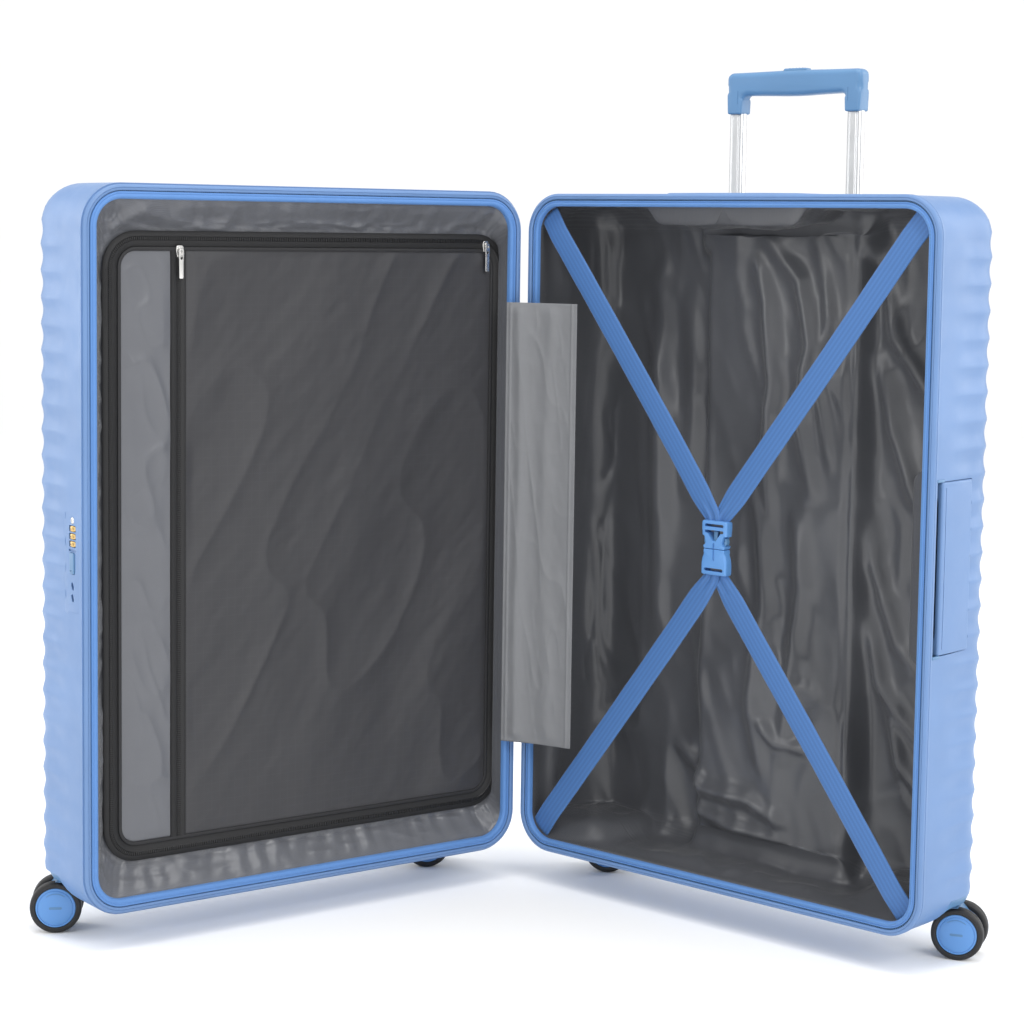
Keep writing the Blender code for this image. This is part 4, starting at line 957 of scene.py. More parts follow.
def drape(side, points, ways, seam, look):
    """Let the cloth settle: a Cloth simulation pinned at the mouth and at the seams, cut a little
    larger than the frame it hangs on, with moves capped and kept off the wall behind."""
    if look.drape_frames < 2:
        return points
    rows, count = points.shape[:2]
    cloth = piece("draping", to_world(side, points), quads(rows, count))
    group = cloth.vertex_groups.new(name="pins")
    edge = np.zeros((rows, count))
    edge[:, :2], edge[:, -2:], edge[:3], edge[-3:] = 1, 1, 1, 1
    pins = np.clip(edge + (seam > 0.4) * 0.9, 0, 1).ravel()
    for weight in np.unique(np.round(pins, 2)):
        if weight > 0:
            group.add(np.flatnonzero(np.isclose(np.round(pins, 2), weight)).tolist(), float(weight),
                      "REPLACE")
    step = cloth.modifiers.new("cloth", "CLOTH")
    rules = step.settings
    rules.quality, rules.mass, rules.air_damping = 4, 0.12, 4.0
    rules.tension_stiffness = rules.compression_stiffness = 12.0
    rules.shear_stiffness, rules.bending_stiffness = 4.0, look.drape_stiffness
    rules.vertex_group_mass = "pins"
    rules.shrink_min = rules.shrink_max = -look.drape_spare
    rules.effector_weights.gravity = 0.25
    step.collision_settings.use_collision = False
    scene = bpy.context.scene
    for number in range(1, look.drape_frames + 1):
        scene.frame_set(number)
    graph = bpy.context.evaluated_depsgraph_get()
    shape = cloth.evaluated_get(graph).data
    moved = np.zeros(rows * count * 3)
    shape.vertices.foreach_get("co", moved)
    scene.frame_set(1)
    bpy.data.objects.remove(cloth, do_unlink=True)
    moved = to_shell(side, moved.reshape(rows, count, 3))
    shift = moved - points
    size = np.linalg.norm(shift, axis=-1, keepdims=True)
    shift *= np.minimum(1, 0.012 / np.maximum(size, 1e-9))
    settled = points + shift
    back = np.sum(shift * ways, -1)
    over = np.maximum(0, back - 0.0004)
    return clear_of_wells(settled - ways * over[..., None])


def make_front_lining():
    """The front shell's lining, seen only round the divider: mid grey satin puckered towards its
    zip."""
    points, ways, stand, mouth = lining_surface("front", 110, 12, 10, 60)
    u, v, z = points[..., 0], points[..., 1], points[..., 2]
    pucker = creases(np.stack([u * 26, v * 8, z * 26], -1), 31) * 0.0030
    pucker += creases(np.stack([u * 55, v * 20, z * 55], -1), 37, 1) * 0.0010
    lift = stand + mouth + pucker * ease(0.010, 0.030, v)
    points = clear_of_wells(points - ways * lift[..., None])
    lining = piece("front_lining_cloth", to_world("front", points), quads(*points.shape[:2]),
                   uv=wrapped_uv(points))
    soften(lining)
    dress(lining, "front_shell", finish("strip"), "lining", "front_lining")
    return lining


def make_gusset():
    """The satin margin between the front shell's binding and the divider's zip: a ring of cloth
    strung between two rounded outlines, bowed into the shell and puckered across, with heavier
    folds in its upper outer corner."""
    outer, inner = case_outline(0.0122, 26, 90), divider_outline(0.0030, 26, 90)
    share = np.linspace(0, 1, 46)[:, None]
    plan = outer[None] * (1 - share[..., None]) + inner[None] * share[..., None]
    span = np.linalg.norm(outer - inner, axis=1)[None]
    depth = 0.0079 + (DIVIDER_V - 0.0036) * ease(0.0, 0.80, share)
    arch = np.sin(np.pi * share) * (1 - ease(0.60, 0.86, share))
    spot = np.stack([plan[..., 0], plan[..., 1], np.zeros(plan.shape[:2])], -1)
    pucker = creases(spot * [30, 30, 1] + 3.1, 31) * 0.0042 + creases(spot * [62, 62, 1], 37, 1) * 0.0014
    along = np.concatenate([[0], np.cumsum(np.linalg.norm(np.diff(inner, axis=0), axis=1))])[None]
    gather = np.sin(along * 2 * np.pi / 0.021 + 2.2 * lattice_noise(spot * 24, 5)) * 0.0011
    gather = gather + np.sin(along * 2 * np.pi / 0.0072 + 3.0 * lattice_noise(spot * 40, 8)) * 0.0004
    corner = np.exp(-(((plan[..., 0] - 0.455) / 0.075) ** 2 + ((plan[..., 1] - 0.722) / 0.030) ** 2))
    heavy = ridge(plan, ((0.400, 0.716), (0.450, 0.727), (0.490, 0.705)), 0.008, 0.007, 1.0)
    heavy = heavy + ridge(plan, ((0.430, 0.706), (0.470, 0.712), (0.496, 0.660)), 0.006, 0.005, 1.1)
    room = np.minimum(1.0, span / 0.030)
    depth = depth + arch * (0.0045 * room - (pucker + gather) * room - heavy * corner * 1.2)
    depth = np.maximum(depth, 0.0062)
    points = np.stack([plan[..., 0], depth, plan[..., 1]], -1)
    gusset = piece("front_margin_cloth", to_world("front", points), quads(*depth.shape, wrap_columns=True))
    dress(gusset, "front_shell", finish("margin"), "lining")
    return gusset


# ---------------------------------------------------------------- divider

DIVIDER_U, DIVIDER_Z, DIVIDER_V, DIVIDER_CORNER = (0.0115, 0.4790), (0.0865, 0.7020), 0.0280, 0.030
POCKET_U = 0.4025


def divider_outline(inset, steps=10, straight=10):
    """The divider's rounded outline in u and z, moved inwards by an inset."""
    return rounded_outline(DIVIDER_U[1] - DIVIDER_U[0] - 2 * inset, DIVIDER_Z[1] - DIVIDER_Z[0] - 2 * inset,
                           max(DIVIDER_CORNER - inset, 0.003), steps, straight,
                           (sum(DIVIDER_U) / 2, sum(DIVIDER_Z) / 2))


def divider_relief(u, z):
    """The divider's loose cloth towards the mouth: soft diagonal waves in the main panel and short
    gathers in the strip beside the pocket zip."""
    plane = np.stack([(u + 0.55 * z) * 9.0, np.zeros(u.shape), (z - 0.8 * u) * 3.2], -1)
    wave = cloud(plane + 3.1, 41, 2) * 0.0022 + creases(plane * 1.6, 47, 1) * 0.0022
    fine = cloud(np.stack([(u + z) * 60, np.zeros(u.shape), (z - u) * 25], -1), 53, 2) * 0.00035
    strip = ease(POCKET_U - 0.004, POCKET_U + 0.008, u)
    gather = creases(np.stack([(u - 0.35 * z) * 24, np.zeros(u.shape), (z + 0.5 * u) * 12], -1), 59) * 0.0026
    return (wave + fine) * (1 - strip) + gather * strip


def divider_cloth(name, span_u, inset):
    """One panel of the divider between two values of u: each column runs from the bottom to the top
    of the rounded outline, and the relief fades at every edge."""
    low, high = span_u
    u = np.linspace(low, high, int((high - low) / 0.0024) + 2)
    share = np.linspace(0, 1, 240)
    left, right = DIVIDER_U[0] + inset, DIVIDER_U[1] - inset
    radius = DIVIDER_CORNER - inset
    near = np.maximum(0, np.maximum(left + radius - u, u - (right - radius)))
    drop = radius - np.sqrt(np.maximum(0, radius ** 2 - np.minimum(near, radius) ** 2))
    bottom, top = DIVIDER_Z[0] + inset + drop, DIVIDER_Z[1] - inset - drop
    z = bottom[None] + (top - bottom)[None] * share[:, None]
    grid_u = np.broadcast_to(u[None], z.shape)
    edge = np.minimum(np.minimum(z - bottom, top - z),
                      np.minimum(grid_u - low, high - grid_u))
    calm = ease(0.0, 0.014, edge)
    depth = DIVIDER_V + 0.0012 - divider_relief(grid_u, z) * calm
    points = np.stack([grid_u, depth, z], -1)
    cloth = piece(name, to_world("front", points), quads(*z.shape), uv=np.stack([grid_u, z], -1))
    thick = cloth.modifiers.new("cloth", "SOLIDIFY")
    thick.thickness, thick.offset = 0.0006, 1.0
    settle(cloth)
    return cloth


def make_divider():
    """The zipped divider: a ripstop panel, a satin strip, a hem, the black zip round its edge and
    the pocket zip, each zip a pair of tapes with a row of teeth between."""
    main = divider_cloth("divider_panel_cloth", (DIVIDER_U[0] + 0.0085, POCKET_U - 0.0052), 0.0085)
    dress(main, "front_shell", finish("divider"), "divider", "divider_panel")
    strip = divider_cloth("divider_strip_cloth", (POCKET_U + 0.0052, DIVIDER_U[1] - 0.0125), 0.0125)
    dress(strip, "front_shell", finish("strip"), "divider")
    rings = (("divider_zip_tape", ((-0.0060, .0012), (-0.0052, .0002), (-0.0014, -.0004), (0.0000, -.0008),
                                   (0.0030, -.0008), (0.0044, -.0004), (0.0092, .0002), (0.0100, .0012)),
              "zip_black"),
             ("divider_hem", ((0.0096, .0012), (0.0100, -.0006), (0.0116, -.0013), (0.0132, -.0006),
                              (0.0136, .0012)), "seam"))
    for name, profile, key in rings:
        rows = []
        for inset, rise in profile:
            loop = divider_outline(inset)
            rows.append(np.stack([loop[:, 0], np.full(len(loop), DIVIDER_V + rise), loop[:, 1]], -1))
        points = np.array(rows)
        across = np.cumsum([0] + [math.dist(a, b) for a, b in zip(profile, profile[1:])])
        length = np.concatenate([[0], np.cumsum(np.linalg.norm(np.diff(points[0], axis=0), axis=1))])
        uv = np.stack(np.broadcast_arrays(across[:, None], length[None]), -1)
        ring = piece(name, to_world("front", points), quads(*points.shape[:2], wrap_columns=True), uv=uv,
                     crease=50)
        thick = ring.modifiers.new("cloth", "SOLIDIFY")
        thick.thickness, thick.offset = 0.0006, 1.0
        settle(ring, 50)
        dress(ring, "front_shell", finish(key), "divider")
    loop = divider_outline(0.0015)
    spots, ways = along_loop(loop, 0.0021)
    spots = np.stack([spots[:, 0], np.full(len(spots), DIVIDER_V - 0.0007), spots[:, 1]], -1)
    ways = np.stack([ways[:, 0], np.zeros(len(ways)), ways[:, 1]], -1)
    dress(dashes("divider_zip_teeth", "front", spots, ways, (0, -1.0, 0), (0.0013, 0.0044, 0.0010)),
          "front_shell", finish("coil_black"), "divider")
    low, high = DIVIDER_Z[0] + 0.0110, DIVIDER_Z[1] - 0.0110
    z = np.linspace(low, high, 200)
    profile = ((-0.0090, .0012), (-0.0080, -.0004), (-0.0030, -.0008), (-0.0022, -.0002), (0.0022, -.0002),
               (0.0030, -.0008), (0.0080, -.0004), (0.0090, .0012))
    points = np.array([np.stack([np.full(200, POCKET_U + a), np.full(200, DIVIDER_V + d), z], -1)
                       for a, d in profile])
    uv = np.stack(np.broadcast_arrays(np.array([a for a, _ in profile])[:, None], z[None]), -1)
    tape = piece("pocket_zip_tape", to_world("front", points), quads(*points.shape[:2])[:, ::-1], uv=uv,
                 crease=50)
    dress(tape, "front_shell", finish("zip_black"), "divider")
    count = int((high - low) / 0.0021)
    spots = np.stack([np.full(count, POCKET_U), np.full(count, DIVIDER_V - 0.0001),
                      np.linspace(low, high, count)], -1)
    ways = np.tile([0.0, 0.0, 1.0], (count, 1))
    dress(dashes("pocket_zip_teeth", "front", spots, ways, (0, -1.0, 0), (0.0013, 0.0042, 0.0010)),
          "front_shell", finish("coil_black"), "divider")
    for name, offset in (("left", -0.0072), ("right", 0.0072)):
        spots = np.stack([np.full(180, POCKET_U + offset), np.full(180, DIVIDER_V - 0.0006),
                          np.linspace(low, high, 180)], -1)
        dress(dashes("pocket_stitching_" + name, "front", spots, np.tile([0.0, 0.0, 1.0], (180, 1)),
                     (0, -1.0, 0),
                     (0.0022, 0.0005, 0.0003)), "front_shell", finish("seam"), "divider")
    return main, strip


# ---------------------------------------------------------------- hinge flap

def make_flap():
    """The satin flap over the spine: a sheet from the divider's edge to the back lining, bowed
    between its sides, with a broad soft fold near the left and gathers at the hems."""
    cos, sin = math.cos(OPEN_TILT), math.sin(OPEN_TILT)
    left, right = np.array([-0.0225 * cos, -0.0225 * sin]), np.array([0.0760 * cos, -0.0760 * sin])
    bottom, top = 0.158, 0.636
    share, height = np.linspace(0, 1, 90), np.linspace(bottom, top, 260)
    s, z = np.meshgrid(share, height)
    base = left[None, None] * (1 - s[..., None]) + right[None, None] * s[..., None]
    bow = 0.0035 * np.sin(np.pi * s)
    edge = ease(0, 0.07, s) * (1 - ease(0.93, 1.0, s)) * ease(bottom, bottom + 0.012,
                                                              z) * (1 - ease(top - 0.012, top, z))
    fold = 0.0032 / np.cosh((s - 0.20 - 0.02 * np.sin(z * 17)) / 0.075) ** 2
    fold += 0.0016 / np.cosh((s - 0.62 - 0.05 * np.sin(z * 9 + 1)) / 0.10) ** 2
    small = creases(np.stack([s * 3.2 + z * 5, z * 0, z * 16], -1), 61) * 0.0007
    small += cloud(np.stack([s * 9, z * 0, z * 60], -1), 67, 2) * 0.00020
    hem = 0.0007 * np.exp(-((s - 0.93) / 0.010) ** 2) + 0.0007 * np.exp(-((s - 0.06) / 0.012) ** 2)
    depth = base[..., 1] - 0.0022 + bow - (fold + small) * edge - hem
    points = np.stack([SPINE[0] + base[..., 0], SPINE[1] + depth, z], -1)
    width = float(np.linalg.norm(right - left))
    flap = piece("hinge_flap_cloth", points, quads(*z.shape), uv=np.stack([s * width, z], -1))
    thick = flap.modifiers.new("cloth", "SOLIDIFY")
    thick.thickness, thick.offset = 0.0009, 0.0
    settle(flap)
    flap.data.materials.append(finish("flap"))
    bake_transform(flap)
    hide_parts("hinge_flap")
    return flap


# ---------------------------------------------------------------- places of the fittings

def node_span(node, side):
    """Lowest and highest corner of a CAD node in shell coordinates."""
    mesh = frame["nodes"][node].data
    points = np.zeros(len(mesh.vertices) * 3)
    mesh.vertices.foreach_get("co", points)
    local = to_shell(side, points.reshape(-1, 3))
    return local.min(0), local.max(0)


def middle_of(node, side):
    """The middle of a CAD node's span in shell coordinates."""
    low, high = node_span(node, side)
    return (low + high) / 2


TROLLEY = middle_of("grip", "back")[:2]
BEZEL_HALF = (node_span("trolley_bezel", "back")[1][0] - node_span("trolley_bezel", "back")[0][0]) / 2
BEZEL_FRONT = node_span("trolley_bezel", "back")[0][1]
HANDLE_HALF, HANDLE_DEEP, HANDLE_SPAN, HANDLE_FRONT = 0.0840, 0.0180, (0.0120, 0.0745), 0.0205
SIDE_HANDLE_HEIGHT = 0.3980
LOCK_HEIGHT, LOCK_SPAN = 0.386, (0.0095, 0.0455)
STRAP_WIDTH, STRAP_V = 0.0250, 0.0100
BUCKLE_V = (0.0045, 0.0155)


# ---------------------------------------------------------------- straps and buckle

def strap_arm(name, up, hand, lift):
    """One arm of elastic webbing from the buckle to a corner: a band swept along a line that leaves
    the buckle upright and bends to the corner, a little narrowed and bunched at the buckle."""
    low, high = node_span("buckle_socket", "back")[1][2], node_span("buckle_plug", "back")[0][2]
    edge = low - 0.0045 if up > 0 else high + 0.0045
    corner = 0.0205
    far = np.array([CASE_MIDDLE + hand * (CASE_WIDTH / 2 - corner),
                    CASE_TOP - corner if up > 0 else CASE_FLOOR + corner])
    start = np.array([CASE_MIDDLE + hand * 0.0045, edge])
    bend = start + np.array([hand * 0.0035, up * 0.012])
    share = np.linspace(0, 1, 15)[1:, None]
    lead = (1 - share) ** 2 * start + 2 * share * (1 - share) * (start + [0, up * 0.008]) + share ** 2 * bend
    path = np.concatenate([start[None], lead, bend + (far - bend) * np.linspace(0, 1, 110)[1:, None]])
    way = np.gradient(path, axis=0)
    way /= np.linalg.norm(way, axis=1, keepdims=True)
    length = np.concatenate([[0], np.cumsum(np.linalg.norm(np.diff(path, axis=0), axis=1))])
    width = STRAP_WIDTH * (0.74 + 0.26 * ease(0.0, 0.040, length)) * (1 - 0.006 * np.sin(length * 95))
    across = np.linspace(-0.5, 0.5, 17)
    side = np.stack([way[:, 1], -way[:, 0]], -1)
    plan = path[:, None] + side[:, None] * (across[None, :, None] * width[:, None, None])
    crown = 0.0005 * (1 - (2 * across) ** 2) - 0.0004 * np.abs(2 * across) ** 6
    bunch = 0.0011 * np.sin(across * 14 + 0.6) * (1 - ease(0.0, 0.035, length))[:, None]
    sag = 0.0016 * np.sin(np.pi * length / length[-1])
    tuck = 0.0030 * ease(length[-1] - 0.030, length[-1], length)
    depth = STRAP_V + lift * (1 - ease(0.02, 0.10, length))[:, None] - crown[None] + bunch + (sag + tuck)[:,
                                                                                                          None]
    points = np.stack([plan[..., 0], depth, plan[..., 1]], -1)
    uv = np.stack(np.broadcast_arrays(across[None] * STRAP_WIDTH, length[:, None]), -1)
    arm = piece(name, to_world("back", points), quads(*depth.shape), uv=uv)
    thick = arm.modifiers.new("cloth", "SOLIDIFY")
    thick.thickness, thick.offset = 0.0011, 0.0
    settle(arm)
    tidy_mesh(arm.data, outward=True)
    return arm


def make_straps():
    """Four arms of webbing that meet at the buckle; the upper pair rides on the back shell, the lower pair is baked
    in place on no body.
    """
    for up, word in ((1, "upper"), (-1, "lower")):
        node = word + "_straps"
        for hand, side, lift in ((-1, "left", -0.0012), (1, "right", 0.0006)):
            arm = strap_arm(word + "_strap_" + side, up, hand, lift)
            if up > 0:
                dress(arm, "back_shell", finish("webbing"), "webbing", node)
                continue
            arm.data.materials.append(finish("webbing"))
            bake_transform(arm)
            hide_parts(node)


def buckle_tool(outline, rounding=0.0004, span=(0.0, 0.02)):
    """A tool that cuts through the buckle, from an outline about its middle."""
    outline = np.asarray(outline, float) + np.array([CASE_MIDDLE, MID_HEIGHT])
    return slab("tool", outline, *span, rounding, on_shell("back"), 2)


def bar(low_u, high_u, low_z, high_z, radius):
    """A rounded rectangle between two corners."""
    return rounded_outline(high_u - low_u, high_z - low_z, radius, 4,
                           centre=((low_u + high_u) / 2, (low_z + high_z) / 2))


def make_buckle():
    """The side release buckle: a waisted socket with its strap bars and windows, and a plug with a
    strap bar and sprung prongs that show in the windows."""
    place = on_shell("back")
    centre = np.array([CASE_MIDDLE, MID_HEIGHT])
    upper = [(-.0160, .0268), (.0160, .0268), (.0160, .0130), (.0148, .0040), (.0128, -.0019),
             (-.0128, -.0019), (-.0148, .0040), (-.0160, .0130)]
    outline = round_corners(upper, [.0030, .0030, .006, .004, .0008, .0008, .004, .006]) + centre
    socket = slab("buckle_socket_shell", outline, *BUCKLE_V, 0.0026, place)
    tools = [bar(-.0118, .0118, .0206, .0236, .0012), bar(-.0118, .0118, .0142, .0172, .0012),
             round_corners([(-.0090, .0150), (.0090, .0150), (.0022, .0062), (-.0022, .0062)], .0012),
             round_corners([(.0122, .0116), (.0098, .0040), (.0122, .0012), (.0165, .0012), (.0165, .0116)],
                           .0015),
             round_corners([(-.0122, .0116), (-.0165, .0116), (-.0165, .0012), (-.0122, .0012),
                            (-.0098, .0040)],
                           .0015)]
    carve(socket, [join("slots", [buckle_tool(one) for one in tools[:1]]),
                   join("slots", [buckle_tool(one) for one in tools[1:2] + tools[3:]]),
                   buckle_tool(tools[2]), buckle_tool(bar(-.0013, .0013, -.006, .0040, .0012), 0.0003,
                                                      (0.0, BUCKLE_V[0] + 0.0016))], crease=35)
    dress(socket, "back_shell", finish("buckle"), "trim", "buckle_socket")
    lower = [(-.0126, -.0024), (.0126, -.0024), (.0134, -.0070), (.0158, -.0130), (.0160, -.0290),
             (-.0160, -.0290), (-.0158, -.0130), (-.0134, -.0070)]
    outline = round_corners(lower, [.0008, .0008, .004, .006, .003, .003, .006, .004]) + centre
    plug = slab("buckle_plug_body", outline, *BUCKLE_V, 0.0026, place)
    carve(plug, [buckle_tool(bar(-.0118, .0118, -.0250, -.0218, .0012)),
                 buckle_tool(bar(-.0013, .0013, -.0140, .002, .0012), 0.0003, (0.0, BUCKLE_V[0] + 0.0016))],
          crease=35)
    dress(plug, "buckle_plug", finish("buckle"), "trim", "buckle_plug")
    prongs = []
    for hand in (-1, 1):
        shape = np.array([(.0088, -.0040), (.0104, -.0040), (.0122, .0014), (.0146, .0042), (.0140, .0092),
                          (.0118, .0100), (.0104, .0040)]) * [hand, 1]
        if hand < 0:
            shape = shape[::-1]
        prongs.append(slab("prong", round_corners(shape, .0010) + centre, 0.0074, 0.0126, 0.0006, place, 2))
    prongs.append(slab("prong", bar(-.0024, .0024, -.0040, .0160, .001) + centre, 0.0076, 0.0124, 0.0006,
                       place, 2))
    made = join("buckle_plug_prongs", prongs)
    tidy_mesh(made.data, crease=35)
    dress(made, "buckle_plug", finish("trim"), "trim")


# ---------------------------------------------------------------- casters

def case_solid(side):
    """The shell's smooth outer form as a closed solid, a hair inside its surface."""
    heights = np.linspace(CASE_FLOOR + CORNER, CASE_TOP - CORNER, 12)
    points, _ = case_surface(0.0002, RIM_PLANE + 0.008, heights, section_columns(RIM_PLANE + 0.008, 6, 12, 8),
                             14, 4)
    return piece("solid", to_world(side, points), quads(*points.shape[:2], wrap_columns=True), weld=1e-5,
                 outward=True)


def make_housing(side, place):
    """The moulded wheel well: a turned cup with a rounded roof, trimmed to the case's form."""
    centre = to_world(side, (*caster_spots()[place], 0.0))
    profile = [(0, HOUSING_TOP), (HOUSING_RADIUS - .002, HOUSING_TOP), (HOUSING_RADIUS, HOUSING_TOP - .002),
               (HOUSING_RADIUS, 0.018), (WELL_RADIUS, 0.018), (WELL_RADIUS, HOUSING_ROOF - .006),
               (WELL_RADIUS - .0018, HOUSING_ROOF - .0018), (WELL_RADIUS - .006, HOUSING_ROOF),
               (0.0165, HOUSING_ROOF), (0.0160, HOUSING_ROOF - .0008), (0.0140, HOUSING_ROOF - .0008),
               (0.0136, HOUSING_ROOF), (0, HOUSING_ROOF)]
    name = side + "_" + place
    cup = lathe(name + "_wheel_well", profile, centre, (0, 0, 1), 72)
    carve(cup, [case_solid(side)], "INTERSECT")
    dress(cup, side + "_shell", finish("trim"), "trim", name + "_caster_housing")


def make_caster(side, place):
    """Fork and twin wheels, set out from the joints: the fork hangs from the swivel and trails to
    the axle, and each wheel is a grooved tyre on a domed cap."""
    name = side + "_" + place
    swivel = np.array(JOINTS[name + "_swivel_turn"]["pos_m"])
    axle = np.array(JOINTS[name + "_wheel_a_roll"]["pos_m"])
    axis = np.array(JOINTS[name + "_wheel_a_roll"]["axis"], float)
    trail = (axle - swivel) * [1, 1, 0]
    reach = np.linalg.norm(trail)
    trail /= reach

    def place_fork(across, up, deep):
        base = np.array([swivel[0], swivel[1], 0.0])
        return base + across[..., None] * trail + up[..., None] * [0, 0, 1] + deep[..., None] * axis

    low = axle[2]
    outline = round_corners([(-.0132, .0548), (.0140, .0548), (.0222, .0440), (.0248, .0320),
                             (reach + .0085, low),
                             (reach + .004, low - .0088), (reach - .006, low - .0078),
                             (reach - .0095, low + .002),
                             (.0030, .0370), (-.0100, .0460)],
                             [.002, .004, .008, .008, .005, .005, .005, .006, .006,
                                                               .004])
    fork = slab("fork", outline, -0.0060, 0.0060, 0.0022, place_fork)
    collar = lathe("collar", [(0, .0522), (.0105, .0522), (.0122, .0530), (.0126, .0545), (.0126, .0566),
                              (.0120, .0572), (0, .0572)], (swivel[0], swivel[1], 0), (0, 0, 1), 48)
    fender = slab("fender", round_corners([(-.0125, .0530), (.0150, .0530), (.0232, .0450), (.0262, .0345),
                                           (.0240, .0335), (.0205, .0420), (.0135, .0485), (-.0125, .0495)],
                                          [.001, .004, .006, .001, .001, .006, .004, .001]),
                  -0.0175, 0.0175, 0.0011, place_fork)
    made = join(name + "_fork_arm", [fork, collar, fender])
    tidy_mesh(made.data, crease=35)
    dress(made, name + "_swivel", finish("trim"), "trim", name + "_fork")
    for wheel in ("a", "b"):
        stem = "%s_wheel_%s" % (name, wheel)
        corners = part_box(stem + "_tyre")
        centre = np.array((corners[0] + corners[1]) / 2)
        out = axis * np.sign((centre - axle) @ axis)
        origin = axle + out * 0.0075
        radius = (corners[1].z - corners[0].z) / 2 + 0.0001
        tread = [(.0205, .0004), (.0232, .0000), (.0248, .0005), (.0257, .0018), (radius, .0042),
                 (radius, .0061),
                 (radius - .0004, .0063), (radius - .0004, .0067), (radius, .0069), (radius, .0088),
                 (.0257, .0112),
                 (.0248, .0125), (.0232, .0130), (.0222, .0128), (.0218, .0130), (.0205, .0126)]
        tyre = lathe(stem + "_tread", tread, origin, out, 72, closed=True, crease=40)
        dress(tyre, stem, finish("tyre"), "tyre", stem + "_tyre")
        cap = lathe("cap", [(0, .0136), (.0070, .0136), (.0120, .0134), (.0160, .0129), (.0172, .0125),
                            (.0175, .0120),
                            (.0181, .0120), (.0184, .0126), (.0192, .0126), (.0199, .0122), (.0202, .0112),
                            (.0202, .0006), (.0070, .0006), (.0066, .0020), (.0030, .0020), (.0026, .0006),
                            (0, .0006)], origin, out, 64)
        side_way = np.cross(out, (0, 0, 1.0))

        def place_mark(across, up, deep):
            return origin + across[..., None] * side_way + up[..., None] * [0, 0, 1] + deep[..., None] * out

        mark = slab(stem + "_cap_mark", rounded_outline(0.0130, 0.0026, 0.0012, 4), 0.0128, 0.01375, 0.0003,
                    place_mark, 2)
        turn = np.linspace(math.radians(52), math.radians(128), 16)
        ring = np.concatenate([np.stack([.0150 * np.cos(turn), .0150 * np.sin(turn)], -1),
                               np.stack([.0143 * np.cos(turn[::-1]), .0143 * np.sin(turn[::-1])], -1)])
        arc = slab("arc", ring, 0.0126, 0.0134, 0.0002, place_mark, 2)
        cap.name = stem + "_cap"
        dress(cap, stem, finish("wheel_cap"), "wheel_cap", stem + "_hub")
        mark = join(stem + "_cap_mark", [mark, arc])
        tidy_mesh(mark.data, crease=35)
        dress(mark, stem, finish("trim"), "wheel_cap")


# ---------------------------------------------------------------- trolley

def grooved_outline(width, depth, corner, groove=0.0007):
    """A rounded rectangular tube's section with two grooves in its front and back faces, as a depth
    taken off the outline by a pair of narrow bumps in the width."""
    loop = rounded_outline(width, depth, corner, 5, 24)
    notch = np.exp(-((np.abs(loop[:, 0]) - width * 0.24) / (width * 0.045)) ** 4) * groove
    flat = np.abs(np.abs(loop[:, 1]) - depth / 2) < 1e-6
    loop[:, 1] -= np.sign(loop[:, 1]) * notch * flat
    return loop


